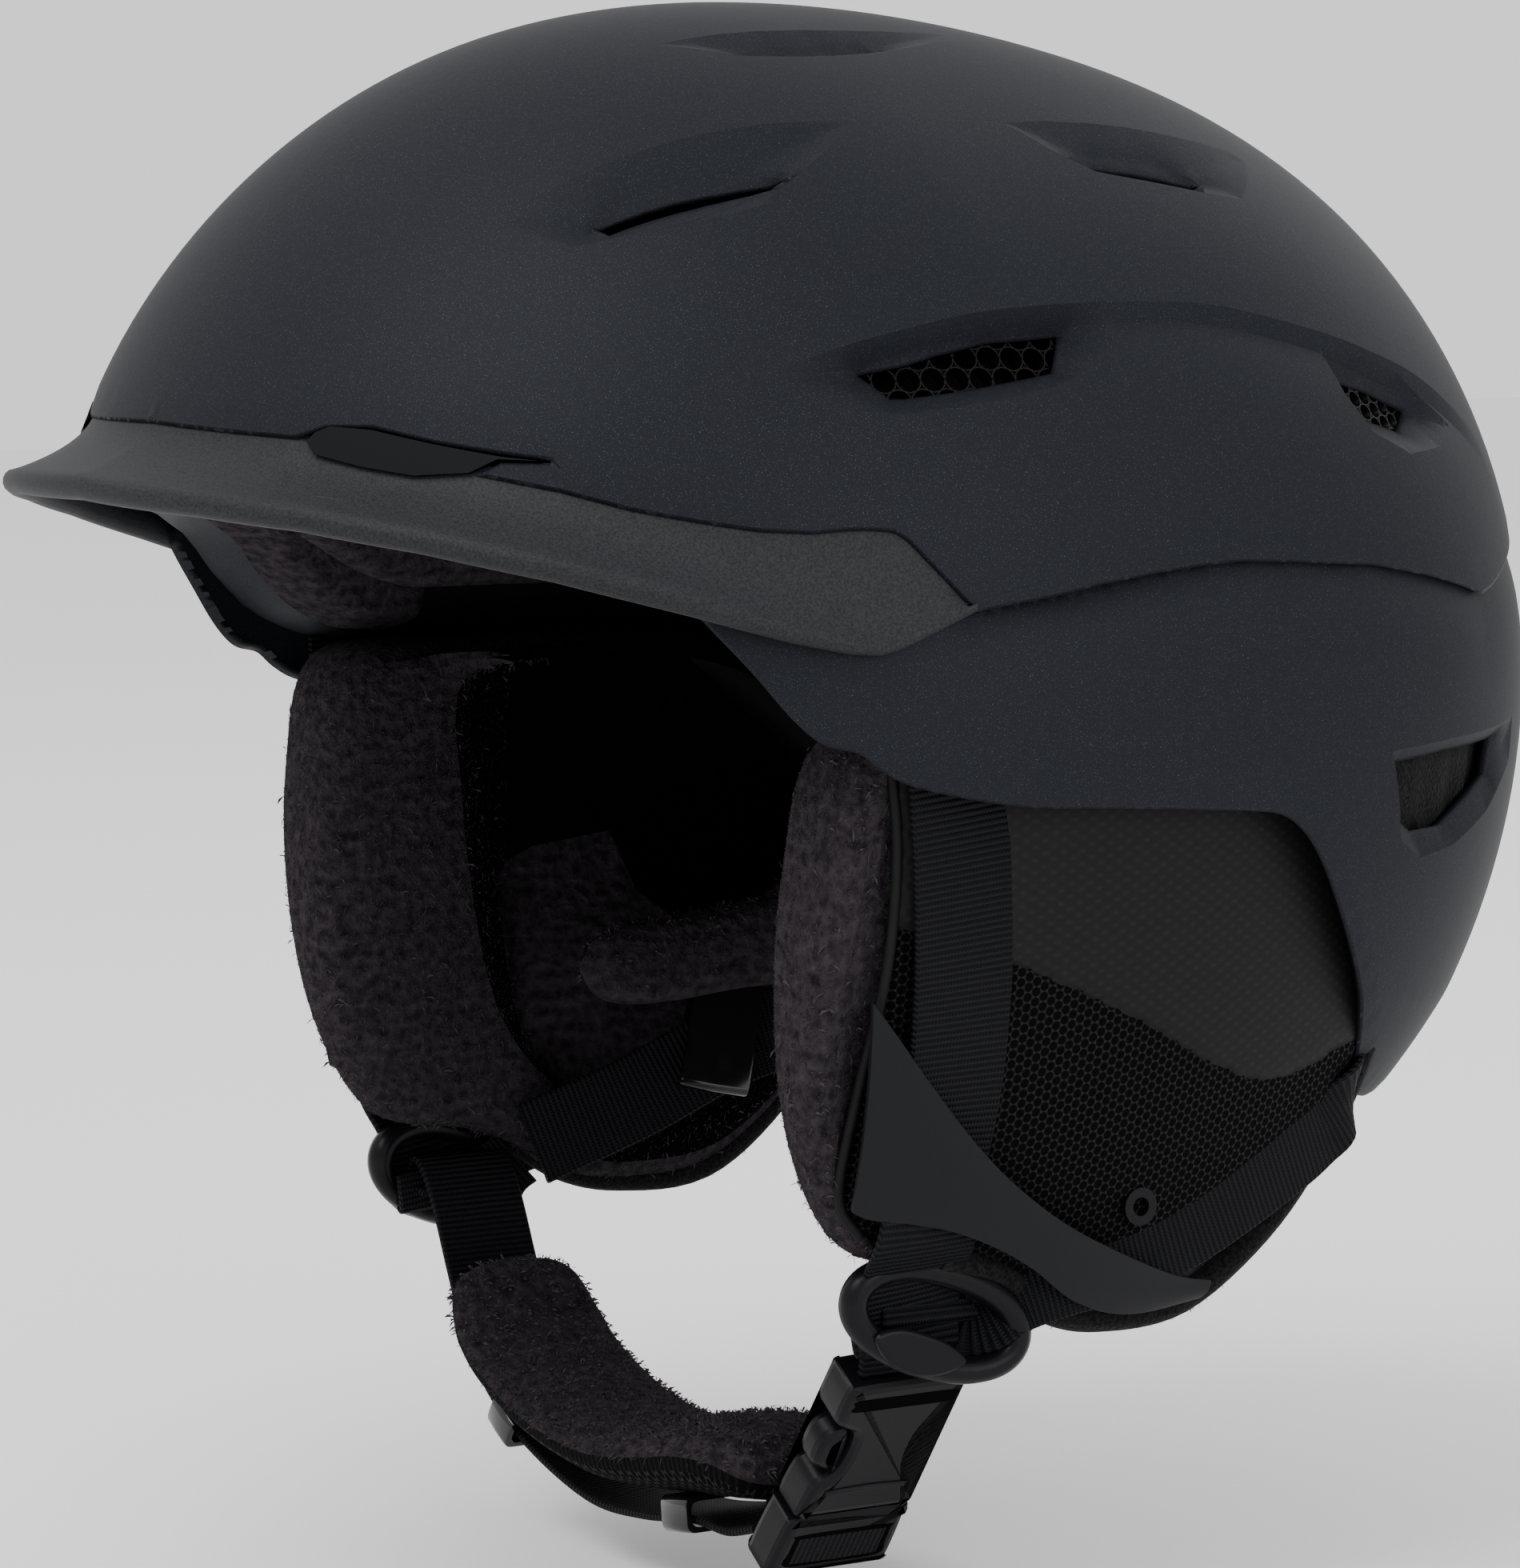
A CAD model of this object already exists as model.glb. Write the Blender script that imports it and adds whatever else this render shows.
"""Looks of a ski helmet: fine shells with vents, brim, fleece pads, webbing and a side-release buckle."""

import logging
import math
from dataclasses import dataclass, field
from enum import Enum
from typing import Any, Callable, Sequence

import bmesh
import bpy
import numpy as np
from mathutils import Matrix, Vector, geometry


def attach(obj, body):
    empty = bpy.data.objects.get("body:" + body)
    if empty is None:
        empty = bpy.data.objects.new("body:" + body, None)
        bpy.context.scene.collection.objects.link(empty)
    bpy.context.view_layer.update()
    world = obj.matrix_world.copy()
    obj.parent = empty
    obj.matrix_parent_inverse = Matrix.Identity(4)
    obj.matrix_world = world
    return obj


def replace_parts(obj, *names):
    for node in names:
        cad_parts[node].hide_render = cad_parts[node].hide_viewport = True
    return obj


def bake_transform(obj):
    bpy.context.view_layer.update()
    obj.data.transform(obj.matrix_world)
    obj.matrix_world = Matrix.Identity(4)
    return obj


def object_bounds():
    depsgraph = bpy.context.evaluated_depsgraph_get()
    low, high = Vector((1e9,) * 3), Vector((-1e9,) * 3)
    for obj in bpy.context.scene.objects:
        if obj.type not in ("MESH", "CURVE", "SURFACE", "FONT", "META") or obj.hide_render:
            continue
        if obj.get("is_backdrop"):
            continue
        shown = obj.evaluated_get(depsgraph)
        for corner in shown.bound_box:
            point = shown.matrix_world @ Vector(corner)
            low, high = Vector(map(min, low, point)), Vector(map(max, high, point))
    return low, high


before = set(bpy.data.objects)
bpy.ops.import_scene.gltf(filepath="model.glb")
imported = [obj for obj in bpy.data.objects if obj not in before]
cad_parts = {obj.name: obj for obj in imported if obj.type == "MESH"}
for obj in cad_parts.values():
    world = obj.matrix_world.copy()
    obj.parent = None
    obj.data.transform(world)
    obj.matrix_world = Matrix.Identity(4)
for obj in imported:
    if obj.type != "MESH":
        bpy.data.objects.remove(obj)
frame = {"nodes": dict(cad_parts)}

LOG = logging.getLogger("helmet")
MM = 0.001
HEX_ROW = 0.866  # a triangular grid's row spacing, as a share of its pitch
STRAP_Y = -26.0  # the chin strap's middle plane
BRIM_END = 79.5  # the azimuth where the brim ends at each temple
Outline = Sequence[tuple[float, float]]
Array = np.ndarray

def curve_through(points: Any, parts: int = 8) -> Array:
    """Points on a smooth curve through the given ones."""
    pts = np.asarray(points, float)
    pts = np.vstack([2 * pts[0] - pts[1], pts, 2 * pts[-1] - pts[-2]])
    t = np.linspace(0, 1, parts, endpoint=False)[:, None]
    found = []
    for i in range(1, len(pts) - 2):
        p0, p1, p2, p3 = pts[i - 1:i + 3]
        found.append(0.5 * (2 * p1 + (p2 - p0) * t + (2 * p0 - 5 * p1 + 4 * p2 - p3) * t**2
                            + (3 * p1 - p0 - 3 * p2 + p3) * t**3))
    return np.vstack([*found, pts[-2]])


def smoothed(outline: Outline, parts: int = 5) -> Outline:
    """An outline's points with others between them on a smooth curve."""
    return tuple((float(a), float(e)) for a, e in curve_through(outline, parts))


LOWER_BOTTOM: Outline = smoothed((
    (56, 1.3), (60, -2.9), (63, -6.4), (65, -8.3), (66.6, -9.2), (69, -9.8), (71, -11.3), (73.5, -12.6),
    (78, -13.8),
    (84, -14.9), (92, -15.5), (102, -15.9), (108, -16.0), (111, -16.3), (113.5, -17.6), (116, -19.9),
    (119.5, -23.8),
    (123, -27.4), (127, -31.2), (132.5, -36.2), (134.5, -37.6), (137, -38.5), (140, -38.8), (143.5, -38.8),
    (148, -38.2), (153, -35.3), (160, -29.5), (168, -24), (174, -21.5), (180, -20.5),
))
UPPER_EDGE: Outline = (
    (0, 15.3), (14, 15.0), (19.5, 14.9), (22.5, 15.9), (27, 16.1), (33, 15.1), (39.2, 14.4), (43.3, 14.05),
    (43.2, 13.85), (39.1, 13.75), (37.0, 12.6), (44.2, 11.5), (50.2, 10.1), (55.7, 9.2), (60.8, 8.5),
    (65.3, 8.3), (68.5, 8.6), (70.4, 8.6), (72.4, 8.4), (73.6, 7.7), (79.5, 1.5), (83, 2.0), (87, 2.5),
    (92, 3.3), (98, 4.0), (103, 4.4), (107, 4.5),
    (112, 4.1), (121, 3.2), (128, 1.8), (133, 0.6), (136, -0.2), (138.5, 0.2), (142, 1.1), (150, 2.9),
    (165, 4.2),
    (180, 4.6),
)
BRIM_SEAM: Outline = (
    (0, 15.3), (14, 15.0), (19.5, 14.9), (21.8, 13.4), (27, 12.7), (31.7, 12.2), (36.3, 12.6), (37.5, 12.7),
    (44.2, 11.5), (50.2, 10.1), (55.7, 9.2), (60.8, 8.5), (65.3, 8.3), (70.4, 8.5), (73, 8.1), (79.5, 1.5),
)
INSERT: Outline = (
    (20.9, 14.7), (21.6, 15.5), (23.0, 16.05), (27, 15.95), (33, 15.0), (39.0, 14.2), (42.6, 13.95),
    (38.8, 13.98),
    (36.5, 12.75), (31.7, 12.35), (27, 12.85), (22, 13.7),
)


class Side(Enum):
    """The wearer's two sides, by the sign of X."""

    LEFT = 1
    RIGHT = -1

    def named(self, name: str) -> str:
        """The name of the CAD node on this side."""
        return f"{name}_{self.name.lower()}"


def natural_spline(knots: dict[float, float]) -> Callable[[Array], Array]:
    """A natural cubic spline through the knots.

    Args:
        knots: positions and the values there.

    Returns:
        A function that gives the values at an array of positions.
    """
    xs = np.array(sorted(knots), float)
    ys = np.array([knots[x] for x in sorted(knots)], float)
    steps = np.diff(xs)
    matrix, right = np.eye(len(xs)), np.zeros(len(xs))
    for i in range(1, len(xs) - 1):
        matrix[i, i - 1:i + 2] = steps[i - 1], 2 * (steps[i - 1] + steps[i]), steps[i]
        right[i] = 6 * ((ys[i + 1] - ys[i]) / steps[i] - (ys[i] - ys[i - 1]) / steps[i - 1])
    bends = np.linalg.solve(matrix, right)

    def value(x: Array) -> Array:
        """The spline's values at these positions."""
        x = np.clip(x, xs[0], xs[-1])
        i = np.clip(np.searchsorted(xs, x) - 1, 0, len(steps) - 1)
        before, after, step = x - xs[i], xs[i + 1] - x, steps[i]
        curve = (bends[i] * after**3 + bends[i + 1] * before**3) / (6 * step)
        curve += (ys[i] / step - bends[i] * step / 6) * after
        return curve + (ys[i + 1] / step - bends[i + 1] * step / 6) * before

    return value


@dataclass
class Dome:
    """The shell's outer surface, in millimetres, by azimuth (0 front, 90 wearer's left) and elevation."""

    centre: tuple[float, float, float] = (0.0, -15.0, 0.0)
    middle: dict[float, float] = field(default_factory=lambda: {
        -110: 118.0, -90: 117.8, -60: 111.0, -30: 103.7, 0: 98.7, 30: 105.6, 60: 125.4, 90: 140.0,
        120: 146.2})
    side: dict[float, float] = field(default_factory=lambda: {
        -120: 115.2, -90: 107.2, -60: 103.0, -30: 99.4, 0: 98.7, 30: 99.4, 60: 103.0, 90: 107.2, 120: 115.2})
    front_squareness: float = 0.009
    rear_squareness: float = 0.055

    def __post_init__(self) -> None:
        """Builds the two profile splines."""
        self.middle_radius = natural_spline(self.middle)
        self.side_radius = natural_spline(self.side)

    def at(self, azimuth: Any, elevation: Any, inset: Any = 0.0) -> Array:
        """Points of the surface.

        Args:
            azimuth: angles from the front, in degrees.
            elevation: angles above the horizontal, in degrees.
            inset: how far towards the centre the points are moved, in millimetres.

        Returns:
            An array of points, the last axis being X, Y, Z.
        """
        azimuth, elevation, inset = np.broadcast_arrays(np.asarray(azimuth, float), elevation, inset)
        a, tilt = np.radians(azimuth), 90.0 - elevation
        front = np.cos(a) > 0
        middle = self.middle_radius(np.where(front, -tilt, tilt))
        side = self.side_radius(tilt)
        square = np.where(front, self.front_squareness, self.rear_squareness)
        radius = side + (middle - side) * np.cos(a) ** 2
        spread = np.sin(np.radians(0.75 * np.minimum(tilt, 120.0))) ** 2 * np.sin(2 * a) ** 2
        radius = radius * (1 + square * spread) - inset
        t = np.radians(tilt)
        way = np.stack([np.sin(a) * np.sin(t), -np.cos(a) * np.sin(t), np.cos(t)], axis=-1)
        return np.array(self.centre) + radius[..., None] * way


DOME = Dome()


def along(line: Outline, azimuth: Any) -> Array:
    """The elevation of an edge line at each azimuth, the same on both sides."""
    return np.interp(np.abs(azimuth), [p[0] for p in line], [p[1] for p in line])


def to_map(azimuth: Any, elevation: Any) -> Array:
    """Angles as points of a flat map with the crown at its middle."""
    a, t = np.radians(azimuth), 90.0 - np.asarray(elevation, float)
    return np.stack([t * np.sin(a), -t * np.cos(a)], axis=-1)


def from_map(points: Array) -> tuple[Array, Array]:
    """Azimuths and elevations of the flat map's points."""
    return np.degrees(np.arctan2(points[..., 0], -points[..., 1])), 90.0 - np.hypot(points[..., 0],
                                                                                    points[..., 1])


def map_line(outline: Outline) -> Array:
    """An outline given as angles, as points of the flat map close enough to keep its curve."""
    ends = np.asarray(outline, float)
    fine = [ends[:1]]
    for start, end in zip(ends[:-1], ends[1:]):
        count = max(1, math.ceil(abs(end[0] - start[0]) / 1.2))
        fine.append(start + (end - start) * np.arange(1, count + 1)[:, None] / count)
    line = np.vstack(fine)
    return to_map(line[:, 0], line[:, 1])


def resample(points: Array, step: float, closed: bool) -> Array:
    """Points along a polyline at about this spacing, its corners kept."""
    ends = np.vstack([points, points[:1]]) if closed else points
    found = []
    for start, end in zip(ends[:-1], ends[1:]):
        count = max(1, round(float(np.linalg.norm(end - start)) / step))
        found += [start + (end - start) * k / count for k in range(count)]
    if not closed:
        found.append(ends[-1])
    return np.array(found)


def distance_to(points: Array, line: Array, closed: bool) -> Array:
    """The distance from each point to a polyline."""
    ends = np.vstack([line, line[:1]]) if closed else line
    best = np.full(len(points), np.inf)
    for start, end in zip(ends[:-1], ends[1:]):
        way = end - start
        share = np.clip(((points - start) @ way) / max(float(way @ way), 1e-12), 0, 1)
        best = np.minimum(best, np.linalg.norm(points - start - share[:, None] * way, axis=1))
    return best


def inside(points: Array, polygon: Array) -> Array:
    """Whether each point is inside a closed polygon."""
    found = np.zeros(len(points), bool)
    x, y = points[:, 0], points[:, 1]
    for (x0, y0), (x1, y1) in zip(polygon, np.roll(polygon, -1, axis=0)):
        crosses = (y0 > y) != (y1 > y)
        with np.errstate(divide="ignore", invalid="ignore"):
            at = (x1 - x0) * (y - y0) / (y1 - y0) + x0
        found ^= crosses & (x < at)
    return found


class Value:
    """An output of a material's node, with arithmetic that adds Math nodes."""

    def __init__(self, graph: "Graph", socket: bpy.types.NodeSocket) -> None:
        """Keeps the graph and the socket."""
        self.graph = graph
        self.socket = socket

    def math(self, operation: str, *others: Any) -> "Value":
        """The result of a Math node on this value and the others."""
        return self.graph.node("ShaderNodeMath", {"operation": operation},
                               {0: self, **dict(enumerate(others, 1))})

    def __add__(self, other: Any) -> "Value":
        """The sum."""
        return self.math("ADD", other)

    __radd__ = __add__

    def __sub__(self, other: Any) -> "Value":
        """The difference."""
        return self.math("SUBTRACT", other)

    def __rsub__(self, other: Any) -> "Value":
        """The difference from a number."""
        return (self * -1.0) + other

    def __mul__(self, other: Any) -> "Value":
        """The product."""
        return self.math("MULTIPLY", other)

    __rmul__ = __mul__

    def wave(self, pitch: float) -> "Value":
        """A sine wave from 0 to 1 along this value, one wave per pitch."""
        return (self * (2 * math.pi / pitch)).math("SINE") * 0.5 + 0.5


class Graph:
    """The node tree of one material."""

    def __init__(self, name: str) -> None:
        """Makes the material and finds its shader."""
        self.material = bpy.data.materials.new(name)
        self.material.use_nodes = True
        self.tree = self.material.node_tree
        self.shader = self.tree.nodes["Principled BSDF"]

    def node(self, kind: str, settings: dict[str, Any] | None = None, inputs: dict[Any, Any] | None = None,
             output: int | str = 0) -> Value:
        """Makes a node.

        Args:
            kind: the node's type.
            settings: attributes set on it.
            inputs: values, or other nodes' outputs, by input name or number.
            output: which of its outputs is returned.

        Returns:
            The output, wrapped.
        """
        made = self.tree.nodes.new(kind)
        for key, value in (settings or {}).items():
            setattr(made, key, value)
        for key, value in (inputs or {}).items():
            self.connect(made.inputs[key], value)
        return Value(self, made.outputs[output])

    def connect(self, socket: bpy.types.NodeSocket, value: Any) -> None:
        """Links a wrapped output to an input, or sets the input to a constant."""
        if isinstance(value, Value):
            self.tree.links.new(value.socket, socket)
        else:
            socket.default_value = value

    def mix(self, share: Any, first: Any, second: Any) -> Value:
        """A colour between two others."""
        inputs = {0: share, 6: first, 7: second}
        return self.node("ShaderNodeMix", {"data_type": "RGBA"}, inputs, 2)

    def noise(self, scale: float, detail: float = 2.0, vector: Value | None = None) -> Value:
        """Noise over the object's own coordinates, at this many features a metre."""
        inputs = {"Scale": scale, "Detail": detail}
        inputs["Vector"] = vector or self.node("ShaderNodeTexCoord", output="Object")
        return self.node("ShaderNodeTexNoise", None, inputs)

    def uv(self) -> tuple[Value, Value]:
        """The piece's own two coordinates, in millimetres."""
        place = self.node("ShaderNodeUVMap", {"uv_map": "mm"})
        split = self.node("ShaderNodeSeparateXYZ", None, {0: place})
        return split, Value(self, split.socket.node.outputs[1])

    def bump(self, height: Value, depth: float, strength: float = 1.0) -> None:
        """Feeds a height in millimetres, scaled by depth, to the shader's normal."""
        inputs = {"Height": height * (depth * MM), "Strength": strength, "Distance": 1.0}
        self.connect(self.shader.inputs["Normal"], self.node("ShaderNodeBump", None, inputs))


@dataclass(frozen=True)
class Finish:
    """A surface's look."""

    name: str
    colour: tuple[float, float, float]
    roughness: float
    metallic: float = 0.0
    specular: float = 0.5
    sheen: float = 0.0
    sheen_tint: tuple[float, float, float] = (1.0, 1.0, 1.0)
    ior: float = 1.5

    def material(self) -> bpy.types.Material:
        """The material, made once for all pieces with this finish."""
        if self.name in bpy.data.materials:
            return bpy.data.materials[self.name]
        graph = Graph(self.name)
        values = {
            "Base Color": (*self.colour, 1.0), "Roughness": self.roughness, "Metallic": self.metallic,
            "Specular IOR Level": self.specular, "Sheen Weight": self.sheen,
            "Sheen Tint": (*self.sheen_tint, 1.0),
            "IOR": self.ior,
        }
        for key, value in values.items():
            graph.shader.inputs[key].default_value = value
        self.dress(graph)
        return graph.material

    def tinted(self, factor: float) -> tuple[float, float, float, float]:
        """The base colour made darker or lighter."""
        return (*(min(1.0, c * factor) for c in self.colour), 1.0)

    def dress(self, graph: Graph) -> None:
        """Adds the detail that varies over the surface: none on a plain finish."""


@dataclass(frozen=True)
class Grained(Finish):
    """A finish with fine speckle in colour and a fine grain."""

    grain: float = 2500.0
    contrast: float = 0.25
    depth: float = 0.02

    def dress(self, graph: Graph) -> None:
        """Adds the speckle and the grain."""
        speckle = graph.noise(self.grain, 3.0)
        share = (speckle - 0.5) * 3.0 + 0.5
        colour = graph.mix(share, self.tinted(1 - self.contrast), self.tinted(1 + self.contrast))
        graph.connect(graph.shader.inputs["Base Color"], colour)
        graph.bump(speckle, self.depth)


@dataclass(frozen=True)
class Flecked(Finish):
    """Matte paint with tiny metallic flecks."""

    fleck: tuple[float, float, float] = (0.050, 0.064, 0.080)
    flecks: float = 5200.0

    def dress(self, graph: Graph) -> None:
        """Adds the flecks and a fine orange peel."""
        flecks = graph.noise(self.flecks, 1.0)
        sparkle = (flecks - 0.62).math("MAXIMUM", 0.0) * 5.0
        wide = (graph.noise(14.0, 1.0) - 0.5) * 0.35
        base = graph.mix(wide + 0.5, self.tinted(0.86), self.tinted(1.14))
        graph.connect(graph.shader.inputs["Base Color"], graph.mix(sparkle, base, (*self.fleck, 1.0)))
        graph.bump(graph.noise(900.0, 2.0), 0.02)


@dataclass(frozen=True)
class Plush(Finish):
    """Short fleece pile, darker between its ribs."""

    rib: float = 3.1

    def dress(self, graph: Graph) -> None:
        """Adds ribs, tufts and their shadows."""
        place = graph.node("ShaderNodeTexCoord", output="Object")
        height = Value(graph, graph.node("ShaderNodeSeparateXYZ", None, {0: place}).socket.node.outputs[2])
        drift = graph.noise(160.0, 3.0) * 4.5
        ribs = (height * 1000.0 + drift).wave(self.rib)
        tufts = graph.noise(520.0, 5.0)
        pile = ribs * 0.16 + tufts * 1.9
        share = pile - 0.62
        colour = graph.mix(share, self.tinted(0.3), self.tinted(1.5))
        graph.connect(graph.shader.inputs["Base Color"], colour)
        graph.bump(pile, 0.9)


@dataclass(frozen=True)
class Woven(Finish):
    """Webbing with ribs across it and stitched edges."""

    pitch: float = 1.05

    def dress(self, graph: Graph) -> None:
        """Adds the ribs and the weave."""
        u, v = graph.uv()
        weave = v.wave(0.62)
        ribs = (u + (weave - 0.5) * 0.14).wave(self.pitch)
        height = ribs * 0.8 + weave * ribs * 0.35
        colour = graph.mix(height, self.tinted(0.3), self.tinted(1.5))
        graph.connect(graph.shader.inputs["Base Color"], colour)
        graph.bump(height, 0.32)


@dataclass(frozen=True)
class SpacerMesh(Finish):
    """Knitted mesh of six-sided holes."""

    pitch: float = 1.7

    def dress(self, graph: Graph) -> None:
        """Adds the holes."""
        u, v = graph.uv()
        turn = 2 * math.pi / (self.pitch * HEX_ROW)
        total = None
        for angle in (0, 60, 120):
            c, s = math.cos(math.radians(angle)), math.sin(math.radians(angle))
            wave = ((u * c + v * s) * turn).math("COSINE")
            total = wave if total is None else total + wave
        holes = ((total + 1.15) * 1.6).math("MAXIMUM", 0.0).math("MINIMUM", 1.0)
        colour = graph.mix(holes, self.tinted(3.4), self.tinted(0.15))
        graph.connect(graph.shader.inputs["Base Color"], colour)
        graph.connect(graph.shader.inputs["Roughness"], holes * 0.4 + 0.55)
        graph.bump(1.0 - holes, 0.5)


@dataclass(frozen=True)
class Laminate(Finish):
    """Coated cloth with a fine slanting weave."""

    pitch: float = 2.1

    def dress(self, graph: Graph) -> None:
        """Adds the weave."""
        u, v = graph.uv()
        threads = (u * 0.6 + v).wave(self.pitch) + (u * 0.6 - v).wave(self.pitch)
        share = (threads * 0.5).math("POWER", 3.0)
        graph.connect(graph.shader.inputs["Base Color"], graph.mix(share, self.tinted(0.9), self.tinted(1.5)))
        graph.bump(share, 0.05)


SHELL = Flecked("shell_paint", (0.0080, 0.0088, 0.0120), 0.55, 0.1, 0.35, ior=1.22)
RUBBER = Grained("brim_rubber", (0.0130, 0.0134, 0.0155), 0.60, 0.0, 0.16, grain=2400.0, contrast=0.45,
                 depth=0.05)
SMOOTH = Finish("smooth_panel", (0.0018, 0.0019, 0.0028), 0.36, 0.0, 0.08)
FOAM = Grained("foam_skin", (0.0030, 0.0030, 0.0033), 0.6, 0.0, 0.06, grain=900.0, contrast=0.1, depth=0.05)
DARK = Finish("dark_inside", (0.0008, 0.0008, 0.0009), 0.8, 0.0, 0.02)
FLEECE = Plush("plush_fleece", (0.0270, 0.0225, 0.0265), 0.95, 0.0, 0.02, 0.05, (0.45, 0.38, 0.45))
PILE = Finish("fleece_fibres", (0.0430, 0.0355, 0.0425), 0.9, 0.0, 0.02)
WEBBING = Woven("ribbed_webbing", (0.0062, 0.0062, 0.0078), 0.62, 0.0, 0.06)
MESH = SpacerMesh("knitted_mesh", (0.0026, 0.0026, 0.0028), 0.6, 0.0, 0.06)
LAMINATE = Laminate("coated_laminate", (0.0070, 0.0070, 0.0074), 0.58, 0.0, 0.08)
FELT = Grained("felt_edge", (0.0062, 0.0062, 0.0064), 0.95, 0.0, 0.02, 0.05, grain=1500.0, contrast=0.6,
               depth=0.3)
WING = Grained("wing_plastic", (0.0050, 0.0052, 0.0064), 0.46, 0.0, 0.12, grain=3500.0, contrast=0.12,
               depth=0.012)
BUCKLE = Grained("buckle_plastic", (0.0034, 0.0034, 0.0044), 0.32, 0.0, 0.12, grain=3000.0, contrast=0.08,
                 depth=0.01)
GLOSSY = Finish("glossy_plastic", (0.0045, 0.0045, 0.005), 0.10, 0.0, 0.5)
GRILLE = Finish("grille", (0.0022, 0.0022, 0.0025), 0.35, 0.0, 0.12)


def piece(name: str, points: Any, faces: Sequence[Sequence[int]], finish: Finish, body: str = "helmet",
          uv: Array | None = None, sharp: float = 35.0) -> bpy.types.Object:
    """Makes a named mesh object.

    Args:
        name: the object's name.
        points: its points, in millimetres.
        faces: its faces, as point numbers.
        finish: its look.
        body: the moving body it rides on.
        uv: two coordinates per point, in millimetres.
        sharp: the angle between faces, in degrees, over which their edge stays sharp.

    Returns:
        The object.
    """
    mesh = bpy.data.meshes.new(name)
    mesh.from_pydata([tuple(float(c) * MM for c in p) for p in points], [],
                     [list(map(int, f)) for f in faces])
    mesh.validate()
    if uv is not None:
        layer = mesh.uv_layers.new(name="mm")
        order = np.empty(len(mesh.loops), np.int32)
        mesh.loops.foreach_get("vertex_index", order)
        layer.data.foreach_set("uv", np.asarray(uv, np.float32)[order].ravel())
    bm = bmesh.new()
    bm.from_mesh(mesh)
    bmesh.ops.remove_doubles(bm, verts=bm.verts, dist=1e-6)
    bmesh.ops.recalc_face_normals(bm, faces=bm.faces)
    bm.to_mesh(mesh)
    bm.free()
    mesh.shade_smooth()
    mesh.set_sharp_from_angle(angle=math.radians(sharp))
    obj = bpy.data.objects.new(name, mesh)
    bpy.context.scene.collection.objects.link(obj)
    mesh.materials.append(finish.material())
    if body:
        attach(obj, body)
    return obj


def grid_faces(rows: int, cols: int, offset: int = 0, wrap: bool = False) -> list[list[int]]:
    """Faces of a grid stored row by row; wrap joins its last column to the first."""
    faces = []
    for r in range(rows - 1):
        for c in range(cols if wrap else cols - 1):
            n = (c + 1) % cols
            faces.append([offset + r * cols + c, offset + r * cols + n, offset + (r + 1) * cols + n,
                          offset + (r + 1) * cols + c])
    return faces


def caps(count: int, total: int) -> list[list[int]]:
    """The two end faces of a form made of rings of count points, total points in all."""
    return [list(range(count)), list(range(total - 1, total - count - 1, -1))]


def closing_row(rows: int, cols: int) -> list[list[int]]:
    """Faces that join a wrapped grid's last row to its first."""
    last = (rows - 1) * cols
    return [[last + c, last + (c + 1) % cols, (c + 1) % cols, c] for c in range(cols)]


def unit(vectors: Array) -> Array:
    """The vectors made one long."""
    return vectors / np.maximum(np.linalg.norm(vectors, axis=-1, keepdims=True), 1e-9)


def run_along(line: Array) -> Array:
    """The length of a polyline up to each of its points."""
    return np.concatenate([[0], np.cumsum(np.linalg.norm(np.diff(line, axis=0), axis=1))])


def square_to(ways: Array, ahead: Array) -> Array:
    """The directions turned square to those of travel."""
    return unit(ways - (ways * ahead).sum(axis=1, keepdims=True) * ahead)


def triangulate(points: Array, edges: Sequence[tuple[int, int]], gap: float) -> tuple[Array, Array]:
    """The points and triangles of a flat mesh that keeps the edges."""
    made = geometry.delaunay_2d_cdt([Vector(p) for p in points], edges, [], 0, gap)
    return np.array([tuple(v) for v in made[0]]), np.array([f for f in made[2] if len(f) == 3])


def thicken(obj: bpy.types.Object, thickness: float, offset: float = 0.0) -> None:
    """Gives a surface a wall of this many millimetres."""
    wall = obj.modifiers.new("wall", "SOLIDIFY")
    wall.thickness = thickness * MM
    wall.offset = offset


def soften(obj: bpy.types.Object, width: float, segments: int = 2, angle: float = 40.0) -> bpy.types.Object:
    """Rounds an object's edges with a bevel of this width in millimetres."""
    bevel = obj.modifiers.new("edge", "BEVEL")
    bevel.width = width * MM
    bevel.segments = segments
    bevel.limit_method = "ANGLE"
    bevel.angle_limit = math.radians(angle)
    bevel.harden_normals = True
    return obj


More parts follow.
